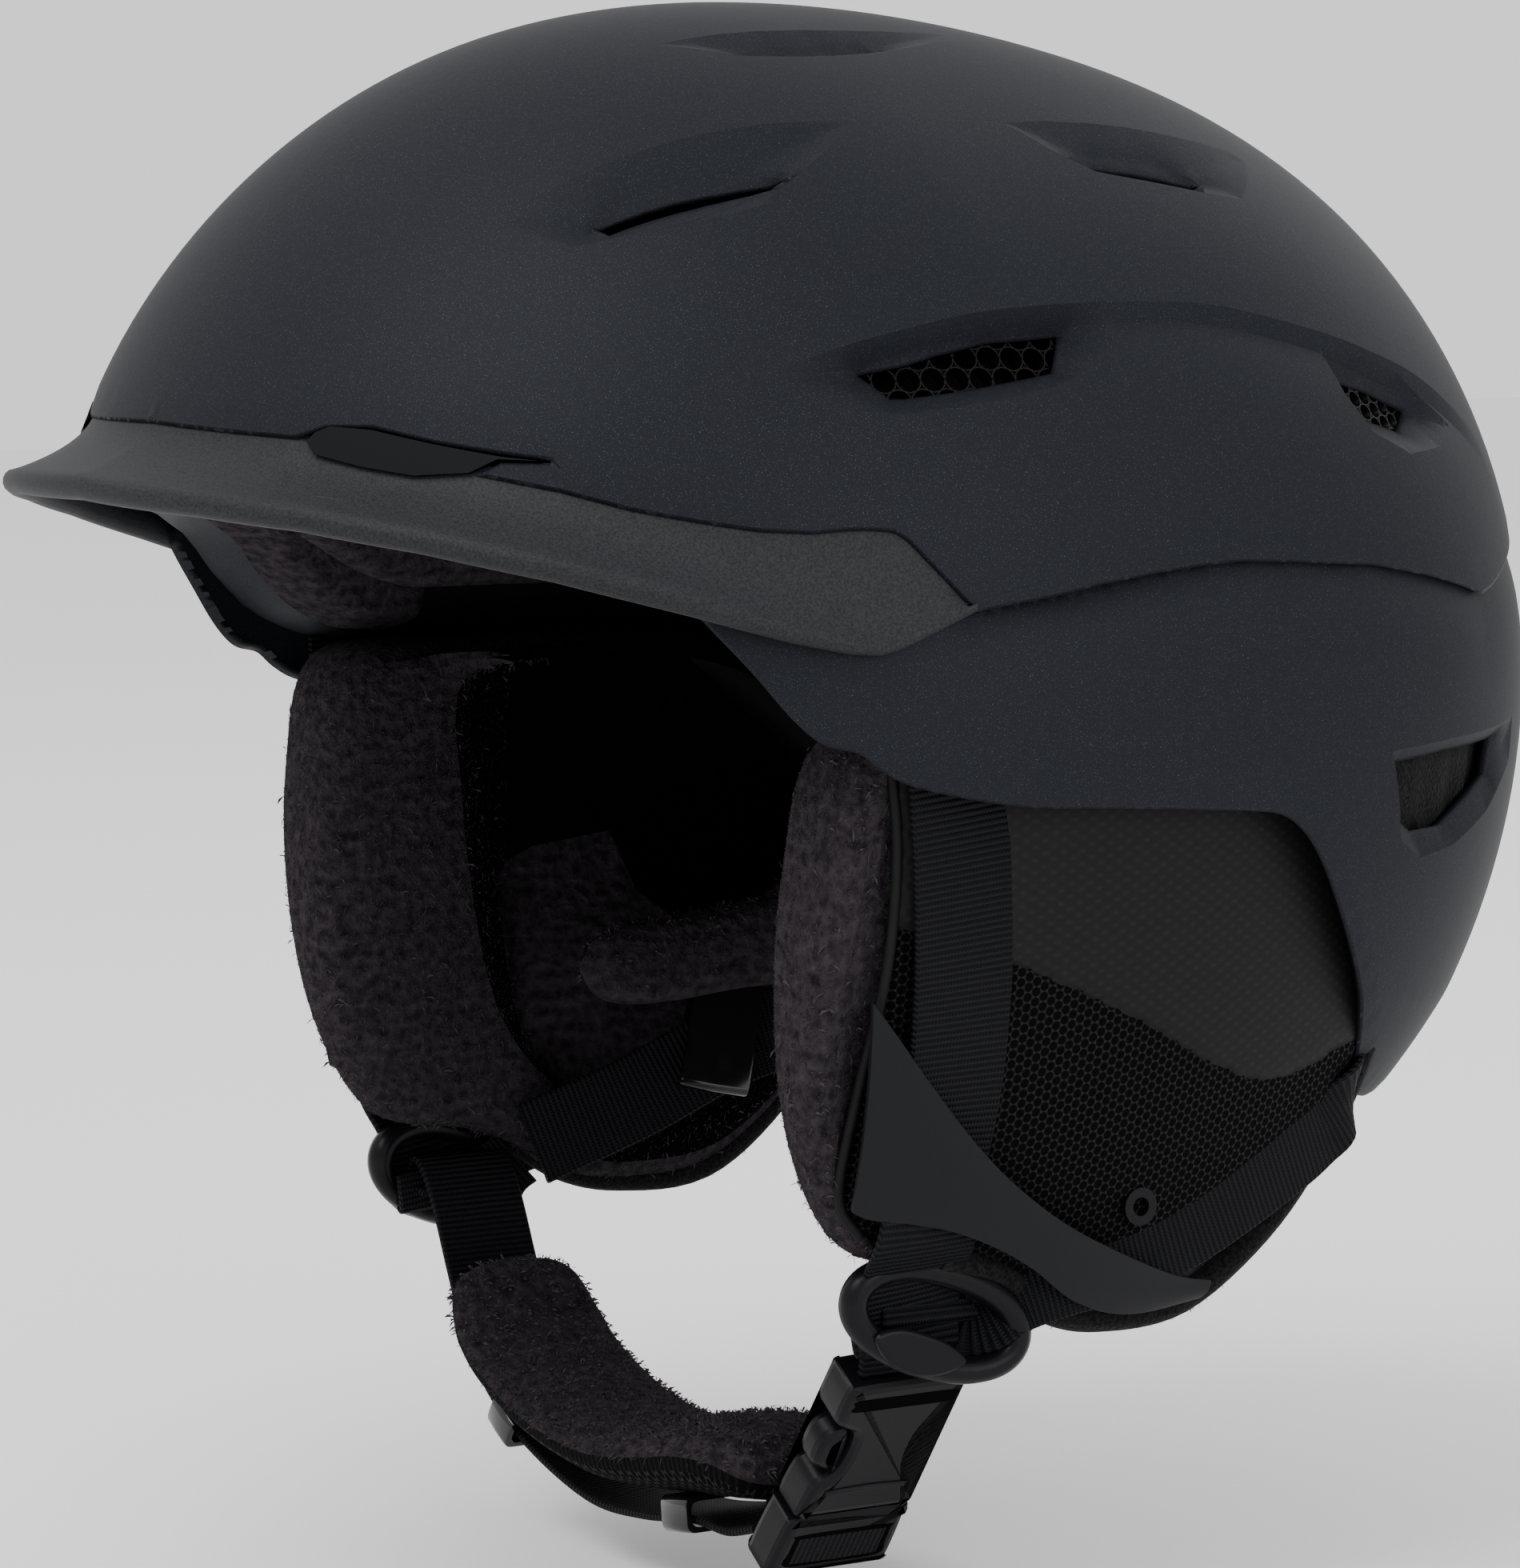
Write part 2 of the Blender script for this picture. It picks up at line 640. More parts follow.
@dataclass
class Pit:
    """A faceted recess in a shell round a hole, with its rim and its hole as angles.

    The hole's first points are its upper edge. Where low is under 1 the recess is shallower along its lower
    edge, and a floor rises to that edge from behind the upper one.
    """

    rim: Outline
    floor: Outline
    depth: float
    low: float = 1.0
    upper: int = 0

    def depths(self, points: Array) -> Array:
        """How deep the recess is at each point of the flat map, in millimetres."""
        rim, floor = map_line(self.rim), map_line(self.floor)
        within = inside(points, rim)
        found = np.zeros(len(points))
        some = points[within]
        from_rim = distance_to(some, rim, True)
        from_floor = distance_to(some, floor, True)
        deep = self.depth * from_rim / np.maximum(from_rim + from_floor, 1e-9)
        if self.upper:
            from_upper = distance_to(some, map_line(self.floor[:self.upper]), False)
            from_lower = distance_to(some, map_line((*self.floor[self.upper - 1:], self.floor[0])), False)
            rise = (from_lower + 0.15) / (from_upper + from_lower + 0.3)
            deep *= self.low + (1 - self.low) * np.clip(rise * 1.4, 0, 1)
        found[within] = deep
        return found

    def ramp(self, name: str, finish: Finish) -> None:
        """The floors seen through the hole on both sides of the helmet."""
        share = np.linspace(-0.06, 1.06, 24)

        def spread(line: Any) -> Array:
            """Angles at even shares of an edge line, run on a little past its ends."""
            ends = np.asarray(line, float)
            run = run_along(to_map(ends[:, 0], ends[:, 1]))
            found = np.stack([np.interp(share, run / run[-1], ends[:, k]) for k in (0, 1)], axis=1)
            return found + np.outer(np.clip(share - 1, 0, None) + np.clip(share, None, 0), ends[-1] - ends[0])

        top = spread(self.floor[:self.upper])
        bottom = spread((*self.floor[self.upper:],)[::-1])
        rows = []
        for up, deeper in ((-0.15, 1.8), (0.0, 0.3), (0.3, 1.0), (0.62, 2.5), (0.7, 7.0), (1.3, 8.0)):
            flat = bottom * (1 - up) + top * up
            rows.append(DOME.at(flat[:, 0], flat[:, 1], self.depth * self.low + deeper))
        points = np.vstack(rows)
        faces = grid_faces(len(rows), len(share))
        for side in Side:
            piece(side.named(name), points * [side.value, 1, 1], faces, finish, sharp=60)


@dataclass
class Skin:
    """One side of a shell as a fine triangle mesh over the dome, mirrored to the other side."""

    name: str
    boundary: Array
    pits: Sequence[Pit]
    creases: Sequence[Outline]
    inset: Callable[[Array], Array]
    thickness: float = 2.2
    coarse: float = 1.7
    fine: float = 0.55
    sharp: float = 11.0

    def samples(self) -> tuple[Array, list[tuple[int, int]]]:
        """The mesh's points on the flat map and the edges it must keep."""
        lines = [(self.boundary, True)]
        for pit in self.pits:
            lines += [(map_line(pit.rim), True), (map_line(pit.floor), True)]
        lines += [(map_line(crease), False) for crease in self.creases]
        points: list[Array] = []
        edges: list[tuple[int, int]] = []
        beside: list[Array] = []
        for line, closed in lines:
            places = resample(line, self.fine, closed)
            start = sum(len(p) for p in points)
            count = len(places)
            edges += [(start + i, start + (i + 1) % count) for i in range(count if closed else count - 1)]
            points.append(places)
            ahead = np.roll(places, -1, axis=0) - np.roll(places, 1, axis=0)
            normal = unit(np.stack([-ahead[:, 1], ahead[:, 0]], axis=1))
            beside += [places + normal * 0.3, places - normal * 0.3]
        fixed = np.vstack(points)
        spans = np.ptp(self.boundary, axis=0)
        low = self.boundary.min(axis=0)
        near = [p for pit in self.pits for p in self.hexes(map_line(pit.rim), self.fine)]
        grid = self.hexes(np.array([low, low + [spans[0], 0], low + spans, low + [0, spans[1]]]), self.coarse)
        kept = [fixed]
        for candidates, gap in ((np.vstack(beside), 0.2), (np.array(near).reshape(-1, 2), 0.35),
                                (grid, 0.95)):
            candidates = candidates[inside(candidates, self.boundary)]
            kept.append(self.apart(candidates, np.vstack(kept), gap))
        return np.vstack(kept), edges

    @staticmethod
    def hexes(polygon: Array, step: float) -> Array:
        """Points of a triangular grid inside a polygon."""
        low, high = polygon.min(axis=0), polygon.max(axis=0)
        rows = int((high[1] - low[1]) / (step * HEX_ROW)) + 1
        cols = int((high[0] - low[0]) / step) + 1
        r, c = np.meshgrid(np.arange(rows), np.arange(cols), indexing="ij")
        across, up = (c + 0.5 * (r % 2) + 0.25) * step, (r + 0.5) * step * HEX_ROW
        places = np.stack([low[0] + across, low[1] + up], axis=-1).reshape(-1, 2)
        return places[inside(places, polygon)]

    @staticmethod
    def apart(candidates: Array, others: Array, gap: float) -> Array:
        """The candidates that are at least gap from every other point and from each other."""
        if not len(candidates):
            return candidates
        best = np.full(len(candidates), np.inf)
        for k in range(0, len(others), 400):
            part = others[k:k + 400]
            best = np.minimum(best, np.linalg.norm(candidates[:, None] - part[None], axis=2).min(axis=1))
        free = candidates[best > gap]
        cells = np.round(free / (gap * 0.8)).astype(int)
        _, first = np.unique(cells, axis=0, return_index=True)
        return free[np.sort(first)]

    def build(self, finish: Finish) -> bpy.types.Object:
        """The shell's mesh object on both sides."""
        points, edges = self.samples()
        verts, faces = triangulate(points, edges, 1e-6)
        middles = verts[faces].mean(axis=1)
        keep = inside(middles, self.boundary)
        for pit in self.pits:
            keep &= ~inside(middles, map_line(pit.floor))
        faces = faces[keep]
        azimuth, elevation = from_map(verts)
        depth = self.inset(verts)
        for pit in self.pits:
            depth = depth + pit.depths(verts)
        place = DOME.at(azimuth, elevation, depth)
        place[np.abs(verts[:, 0]) < 1e-3, 0] = 0.0
        both = np.vstack([place, place * [-1, 1, 1]])
        obj = piece(self.name, both, np.vstack([faces, faces[:, ::-1] + len(place)]), finish,
                    sharp=self.sharp)
        thicken(obj, self.thickness, -1.0)
        return obj


CREASE: Outline = smoothed((
    (61.3, 21.8), (65, 23.4), (68.8, 24.8), (74.5, 26.4), (83.6, 28.3), (93.6, 29.0), (103.5, 28.5),
    (113.1, 26.9),
    (124.6, 22.5), (130, 20.0), (135.8, 17.1), (141, 13.5), (145, 10.5)), 10)
BEVEL = 1.7  # how far below a crease its step is complete, in degrees


def step_in(points: Array, line: Outline, depth: float, fade: float) -> Array:
    """An inset that starts at a crease line and fades out below it.

    Args:
        points: points of the flat map.
        line: the crease.
        depth: the step's depth in millimetres.
        fade: how far below the line it fades, in degrees.

    Returns:
        The inset at each point.
    """
    azimuth, elevation = from_map(points)
    first, last = line[0][0], line[-1][0]
    below = along(line, azimuth) - elevation
    ends = np.clip((azimuth - first) / 9.0, 0, 1) * np.clip((last - azimuth) / 12.0, 0, 1)
    shape = np.clip(below / BEVEL, 0, 1) * np.exp(-np.clip(below - BEVEL, 0, None) / fade)
    return depth * shape * ends


@dataclass
class Shells:
    """Upper and lower hard shells."""

    tuck: float = 2.2
    edge_roll: float = 0.55
    step: float = 1.7

    front_top: Pit = field(default_factory=lambda: Pit(
        ((32.6, 35.8), (35.4, 38.6), (38.6, 40.7), (42.5, 43.3), (46.9, 45.6), (51.8, 47.7), (57, 49.3),
         (63, 50.7),
         (68.7, 51.4), (76.8, 51.8), (61.8, 39.5), (54, 37.0), (46.3, 35.0), (42.1, 33.7)),
        ((42.8, 36.6), (45.4, 38.2), (48.2, 39.6), (51.6, 41.0), (55.3, 42.1), (60, 43.2), (65.6, 44.1),
         (63.3, 42.1),
         (54.5, 37.9), (46.3, 35.2)), 3.8, 0.22, 7))
    rear_top: Pit = field(default_factory=lambda: Pit(
        ((103.3, 51.1), (111, 50.4), (118.1, 48.9), (124, 47.1), (128.4, 45.3), (134, 42.7), (138, 40.6),
         (138.4, 39.6), (137.8, 38.9), (133, 37.3), (128.5, 36), (124.2, 37.5), (117, 40.4), (110.3, 42.9),
         (106.4, 46.8)),
        ((109.2, 45.3), (114.5, 44.3), (119.6, 42.7), (123.6, 41.0), (127.2, 39.1), (124.2, 37.8),
         (117, 40.7),
         (110.4, 42.9)), 3.4, 0.22, 5))
    crown: Pit = field(default_factory=lambda: Pit(
        ((42.2, 64.6), (48.5, 67.0), (55.9, 68.9), (66, 70.6), (80.4, 71.6), (96, 71.5), (108.6, 70.7),
         (119, 69.3),
         (128.7, 67.5), (114, 66.4), (99.2, 65.8), (78, 64.3), (59.7, 63.4)),
        ((60, 65.0), (70, 66.6), (85, 67.6), (100, 67.4), (99, 66.4), (80, 65.6), (66, 64.4)), 2.8, 0.22, 4))
    side_vent: Pit = field(default_factory=lambda: Pit(
        (*CREASE[:57], (99.5, 24.6),
         (97.0, 22.9), (90.2, 20.9), (84.3, 19.9), (76, 18.9), (71.6, 18.6), (68.4, 20.0), (65.9, 21.1)),
        ((71.0, 23.2), (76.2, 24.2), (79.7, 25.2), (85.9, 26.5), (95.0, 26.9), (92.4, 23.1), (82, 21.6),
         (75.3, 20.8),
         (73.8, 20.8)), 3.6))
    rear_side: Pit = field(default_factory=lambda: Pit(
        ((124.4, 21.4), (128.2, 20.2), (133.3, 17.7), (139.2, 12.6), (135, 11.3), (129.7, 11.3),
         (125.6, 13.6),
         (124.2, 17.0)),
        ((125.6, 18.8), (130.5, 16.9), (135.2, 14.5), (132.3, 13.2), (125.8, 15.5)), 3.4))
    low_vent: Pit = field(default_factory=lambda: Pit(
        ((122.0, -11.2), (130, -10.4), (137.5, -9.9), (142, -9.4), (142.0, -12.6), (137.5, -16.0),
         (132.0, -18.4),
         (127.4, -19.3), (124.4, -18.0)),
        ((123.3, -12.4), (130, -11.6), (139.0, -11.0), (138.4, -13.6), (131.0, -17.2), (126.9, -17.6),
         (125.5, -17.0)),
        2.2))

    def upper_inset(self, points: Array) -> Array:
        """The upper shell's inset: its rolled edge and the step under its crease."""
        edge = map_line(UPPER_EDGE)
        roll = self.edge_roll * np.exp(-(distance_to(points, edge, False) / 0.28) ** 2)
        return roll + step_in(points, CREASE, self.step, 5.5)

    def lower_inset(self, points: Array) -> Array:
        """The lower shell's inset: tucked under the upper edge, rolled at its own edge."""
        azimuth, elevation = from_map(points)
        below = along(UPPER_EDGE, azimuth) - elevation
        extra = 1.5 * np.exp(-((np.abs(azimuth) - 91) / 13) ** 2)
        tucked = (self.tuck + extra) * np.exp(-np.clip(below, 0, None) / 2.8)
        edge = map_line(LOWER_BOTTOM)
        return tucked + self.edge_roll * np.exp(-(distance_to(points, edge, False) / 0.35) ** 2)

    def build(self) -> None:
        """Builds both shells in place of the CAD ones."""
        top = map_line(UPPER_EDGE)
        upper = Skin("upper_shell_skin", top, (self.front_top, self.rear_top, self.crown, self.side_vent,
                                               self.rear_side),
                     (CREASE[56:], tuple((a, e - BEVEL) for a, e in CREASE[58:])), self.upper_inset)
        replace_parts(upper.build(SHELL), "upper_shell")
        for name, pit in (("front_slot", self.front_top), ("rear_slot", self.rear_top),
                          ("crown_slot", self.crown)):
            pit.ramp(name, SHELL)
        azimuths, elevations = np.meshgrid(np.linspace(121, 141, 12), np.linspace(-20, -8, 8))
        for side in Side:
            patch = DOME.at(side.value * azimuths, elevations, 5.0 + 0.6 * np.sin(azimuths * 2))
            piece(side.named("vent_fleece"), patch.reshape(-1, 3), grid_faces(8, 12), FELT)
        under = [(a, float(along(UPPER_EDGE, a)) + 1.6) for a in (180, 165, 150, 142, 136, 128, 121, 112,
                                                                  107, 98, 87)]
        hidden = [(79.5, 3.4), (73, 2.0), (66, 0.5), (61, 1.5), (57, 3.0)]
        ring = map_line((*LOWER_BOTTOM, *under, *hidden))
        lower = Skin("lower_shell_skin", ring, (self.low_vent,), (), self.lower_inset)
        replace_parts(lower.build(SHELL), "lower_shell")


@dataclass
class Brim:
    """Soft brim: a flared lip along the front, with smooth inserts in its seam."""

    flare: dict[float, float] = field(default_factory=lambda: {
        0: 10.2, 25: 10.2, 35: 9.6, 45: 8.5, 55: 6.5, 66: 4.0, 72: 1.6, 79.5: 0.3})
    lip_height: dict[float, float] = field(default_factory=lambda: {
        0: 18.0, 15: 17.0, 25: 15.6, 35: 12.8, 45: 8.8, 55: 3.6, 63: -0.9, 68: -3.0, 70.8: -3.4, 72.5: -2.6,
        79.5: 2.9})
    lip: float = 3.6

    def section(self, azimuth: float) -> Array:
        """The brim's closed cross-section at an azimuth, from the seam over the lip and back underneath."""
        flare = float(np.interp(abs(azimuth), list(self.flare), list(self.flare.values())))
        height = float(np.interp(abs(azimuth), list(self.lip_height), list(self.lip_height.values())))
        line = float(along(BRIM_SEAM, azimuth))
        tuck, seam = DOME.at(azimuth, line + 0.9, 1.5), DOME.at(azimuth, line - 0.15, 0.75)
        heading = np.array([math.sin(math.radians(azimuth)), -math.cos(math.radians(azimuth)), 0.0])
        centre = np.array(DOME.centre)
        foot = DOME.at(azimuth, math.degrees(math.asin(np.clip(height / 112.0, -1, 1))))
        reach = float((foot - centre) @ heading) + flare
        start, top = float((seam - centre) @ heading), float(seam[2])
        lip = self.lip * min(1.0, 0.3 + flare / 9.0)
        t = np.linspace(0, 1, 12)
        lean = start + (reach - flare - start) * t
        out = lean + (flare - lip * 0.31) * t**2.0
        down = top - (top - height - lip * 1.157) * (1 - (1 - t) ** 1.1)
        upper = np.stack([out, down], axis=1)
        angle = np.radians([38, 15, -10, -35, -60, -90, -120, -160])
        tip = np.stack([reach - lip * 0.62 + lip * 0.62 * np.cos(angle),
                        height + lip * 0.62 + lip * 0.62 * np.sin(angle)], axis=1)
        deep = max(flare, 2.0)
        under = np.array([
            (reach - lip * 1.35, height + lip * 1.0), (reach - deep * 0.6, height + lip * 1.5),
            (reach - flare - 2.0, height + lip * 2.0),
            (start + (reach - flare - start) * 0.5 - 2.6, (top + height) / 2 + lip),
            (start - 2.4, top - 0.2)])
        profile = np.vstack([upper, tip, under])
        first = np.array([[float((tuck - centre) @ heading), float(tuck[2])]])
        profile = np.vstack([first, profile])
        return centre + profile[:, :1] * heading + profile[:,
                                                           1:] * np.array([0, 0, 1.0]) - np.array([0, 0,
                                                                                                   centre[2]])

    def build(self) -> None:
        """Builds the brim and the two inserts."""
        sections = [self.section(a) for a in np.linspace(-BRIM_END, BRIM_END, 213)]
        count = len(sections[0])
        points = np.vstack(sections)
        faces = grid_faces(len(sections), count, 0, True) + caps(count, len(points))
        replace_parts(piece("brim_skin", points, faces, RUBBER, sharp=60.0), "brim")
        outline = resample(map_line(INSERT), 0.7, True)
        for side in Side:
            azimuth, elevation = from_map(outline)
            rings = [DOME.at(side.value * azimuth, elevation, inset) for inset in (0.05, 2.0)]
            count = len(outline)
            faces = grid_faces(2, count, 0, True) + caps(count, 2 * count)
            obj = piece(side.named("insert_panel"), np.vstack(rings), faces, SMOOTH)
            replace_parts(soften(obj, 0.18), side.named("brim_insert"))


@dataclass
class Inside:
    """Foam and comfort liner inside the shells."""

    foam_edge: Outline = (
        (0, 10.3), (25, 9.4), (40, 7.0), (50, 4.5), (56, 2.0), (60, -1.5), (66, -6.0), (72, -8.5),
        (92, -10.5),
        (110, -11.5), (120, -16.0), (126, -20), (132, -25), (138, -28), (150, -26), (162, -20), (171, -16),
        (180, -15))
    band_edge: Outline = ((0, 11.5), (25, 10.6), (45, 8.0), (58, 3.6), (72, -2.0), (90, -3.4), (180, -3.4))

    def shell_between(self, name: str, layers: Sequence[tuple[Array, Array]],
                      finish: Finish) -> bpy.types.Object:
        """A closed wall round the helmet from rings given as (elevations, insets) at each azimuth."""
        azimuth = np.linspace(-180, 180, 145)[:-1]
        rings = [DOME.at(azimuth, elevation, inset) for elevation, inset in layers]
        return piece(name, np.vstack(rings), grid_faces(len(rings), len(azimuth), 0, True), finish, sharp=60)

    def build(self) -> None:
        """Builds the foam and the liner band."""
        azimuth = np.linspace(-180, 180, 145)[:-1]
        edge = along(self.foam_edge, azimuth)
        layers = [(np.maximum(edge, e), i) for e, i in ((88, 12.0), (70, 12.0), (50, 12.0), (30, 12.0),
                                                        (16, 12.0))]
        layers += [(edge + 6, 5.0), (edge + 1.2, 3.9), (edge + 0.2, 4.3), (edge, 5.6), (edge + 0.2, 14.0),
                   (edge + 0.8, 20.0), (edge + 1.4, 23.0), (edge + 2.6, 24.0)]
        layers += [(np.maximum(edge + 3, e), 24.0) for e in (20, 40, 60, 80, 88)]
        foam = self.shell_between("foam_body", layers, FOAM)
        foam.data.materials.append(SHELL.material())
        foam.data.materials.append(FLEECE.material())
        for polygon in foam.data.polygons:
            middle = polygon.center / MM
            facing = abs(math.degrees(math.atan2(middle.x, -middle.y - 15.0)))
            ring = polygon.index // len(azimuth)
            if facing < 80 and ring >= 5:
                polygon.material_index = 1 if ring <= 8 else 2
        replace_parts(foam, "eps_liner")
        low = along(smoothed(self.band_edge), azimuth) - 0.6
        band = [(low + s * (29 - low), i) for s, i in (
            (0.97, 25.6), (0.03, 25.6), (-0.02, 27.0), (0.0, 29.5), (0.06, 31.0), (0.5, 31.4), (0.94, 31.0),
            (1.0, 29.5), (1.02, 27.0), (0.97, 25.6))]
        liner = self.shell_between("liner_band", band, FLEECE)
        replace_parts(liner, "comfort_liner")


@dataclass
class Grilles:
    """Honeycombs of tubes behind the side vents."""

    wall: float = 0.1
    length: float = 3.0

    def build_one(self, name: str, node: str, hole: Outline, depth: float, pitch: float, side: Side) -> None:
        """One honeycomb: tubes over a hole's outline, standing on its floor."""
        azimuths, elevations = zip(*hole)
        mid = (sum(azimuths) / len(hole), sum(elevations) / len(hole))
        origin = DOME.at(*mid, depth)
        east = unit(DOME.at(mid[0] + 1, mid[1], depth) - origin)
        north = unit(DOME.at(mid[0], mid[1] + 1, depth) - origin)
        flat = np.array([[(p - origin) @ east, (p - origin) @ north] for p in DOME.at(azimuths, elevations,
                                                                                      depth)])
        grown = flat + unit(flat - flat.mean(axis=0)) * pitch * 0.8
        centres = Skin.hexes(grown, pitch)
        points, faces = [], []
        angles = np.radians(np.arange(0, 360, 30))
        for cx, cy in centres:
            start = len(points)
            for radius, deep in ((pitch * 0.512, 0.0), (pitch / 2 - self.wall, 0.0),
                                 (pitch / 2 - self.wall, self.length)):
                for t in angles:
                    grown_by = 1.0 if radius < pitch * 0.5 else 1.04
                    x, y = cx + radius * grown_by * math.cos(t), cy + radius * grown_by * math.sin(t)
                    way = origin + east * x + north * y - np.array(DOME.centre)
                    level = math.degrees(math.atan2(way[2], math.hypot(way[0], way[1])))
                    points.append(DOME.at(math.degrees(math.atan2(way[0], -way[1])), level, depth + deep))
            faces += grid_faces(3, len(angles), start, True)
        points = np.array(points) * [side.value, 1, 1]
        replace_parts(piece(side.named(name), points, faces, GRILLE), side.named(node))

    def build(self, shells: Shells) -> None:
        """Builds all four."""
        for side in Side:
            self.build_one("side_honeycomb", "side_grille", shells.side_vent.floor, 5.4, 4.3, side)
            self.build_one("rear_honeycomb", "rear_grille", shells.rear_side.floor, 4.8, 3.0, side)


def closed_curve(points: Any, parts: int = 6) -> Array:
    """Points on a smooth closed curve through the given ones."""
    pts = np.asarray(points, float)
    wide = np.vstack([pts[-2:], pts, pts[:3]])
    return curve_through(wide, parts)[2 * parts:(2 + len(pts)) * parts]


def ribbon(name: str, route: Any, across: Any, width: float, thickness: float, finish: Finish,
           body: str = "helmet", parts: int = 8) -> bpy.types.Object:
    """A flat strap along a route.

    Args:
        name: the object's name.
        route: points on its middle line.
        across: its width direction, one vector or one for each point.
        width: its width in millimetres.
        thickness: its thickness in millimetres.
        finish: its look.
        body: the moving body it rides on.
        parts: how many steps the curve takes between two points.

    Returns:
        The object.
    """
    line = curve_through(route, parts)
    sides = np.broadcast_to(np.asarray(across, float), (len(route), 3))
    ahead = unit(np.gradient(line, axis=0))
    ways = square_to(unit(curve_through(sides, parts)), ahead)
    normals = np.cross(ahead, ways)
    hw, ht, round_in = width / 2, thickness / 2, min(0.35, thickness / 3)
    section = [(-hw, -ht + round_in), (-hw, ht - round_in), (-hw + round_in, ht), (-hw + 1.6, ht * 0.86),
               (0, ht),
               (hw - 1.6, ht * 0.86), (hw - round_in, ht), (hw, ht - round_in), (hw, -ht + round_in),
               (hw - round_in, -ht), (0, -ht), (-hw + round_in, -ht)]
    wide, high = zip(*section)
    points = np.vstack([p + np.outer(wide, way) + np.outer(high, normal)
                        for p, way, normal in zip(line, ways, normals)])
    uv = np.vstack([[(length, w) for w in wide] for length in run_along(line)])
    count = len(section)
    faces = grid_faces(len(line), count, 0, True) + caps(count, len(points))
    return piece(name, points, faces, finish, body, uv)


def tube(name: str, route: Any, radius: float, finish: Finish, body: str = "helmet", closed: bool = False,
         parts: int = 6, flatness: float = 1.0) -> bpy.types.Object:
    """A round or oval tube along a route."""
    line = closed_curve(route, parts) if closed else curve_through(route, parts)
    ahead = unit(np.roll(line, -1, 0) - np.roll(line, 1, 0)) if closed else unit(np.gradient(line, axis=0))
    guide = np.array([1.0, 0.0, 0.0]) if abs(ahead[0][0]) < 0.9 else np.array([0.0, 1.0, 0.0])
    side = unit(np.cross(ahead, guide))
    up = np.cross(side, ahead)
    angles = np.radians(np.arange(0, 360, 36))
    points = np.vstack([p + radius * (np.outer(np.cos(angles), s) + flatness * np.outer(np.sin(angles), u))
                        for p, s, u in zip(line, side, up)])
    rows, count = len(line), len(angles)
    faces = grid_faces(rows, count, 0, True)
    faces += closing_row(rows, count) if closed else caps(count, rows * count)
    return piece(name, points, faces, finish, body, sharp=60)


def fill(outline: Array, step: float) -> tuple[Array, Array]:
    """A flat triangle mesh inside an outline."""
    edge = resample(outline, step * 0.6, True)
    inner = Skin.hexes(edge, step)
    inner = Skin.apart(inner, edge, step * 0.45)
    points = np.vstack([edge, inner])
    edges = [(i, (i + 1) % len(edge)) for i in range(len(edge))]
    verts, faces = triangulate(points, edges, 1e-5)
    return verts, faces[inside(verts[faces].mean(axis=1), edge)]


def ear_x(y: Array, z: Array) -> Array:
    """The ear pad's outer face on the wearer's left, as X for each Y and Z."""
    y, z = np.asarray(y, float), np.asarray(z, float)
    return 101.0 - 0.0022 * np.minimum(0, z + 20) ** 2 - np.where(y < 0, 0.0026, 0.0034) * y**2


def on_ear(outline: Any, lift: float, side: Side) -> Array:
    """Points on the ear pad's outer face from (Y, Z) pairs."""
    yz = np.asarray(outline, float)
    x = ear_x(yz[:, 0], yz[:, 1]) + lift
    return np.stack([side.value * x, yz[:, 0], yz[:, 1]], axis=1)


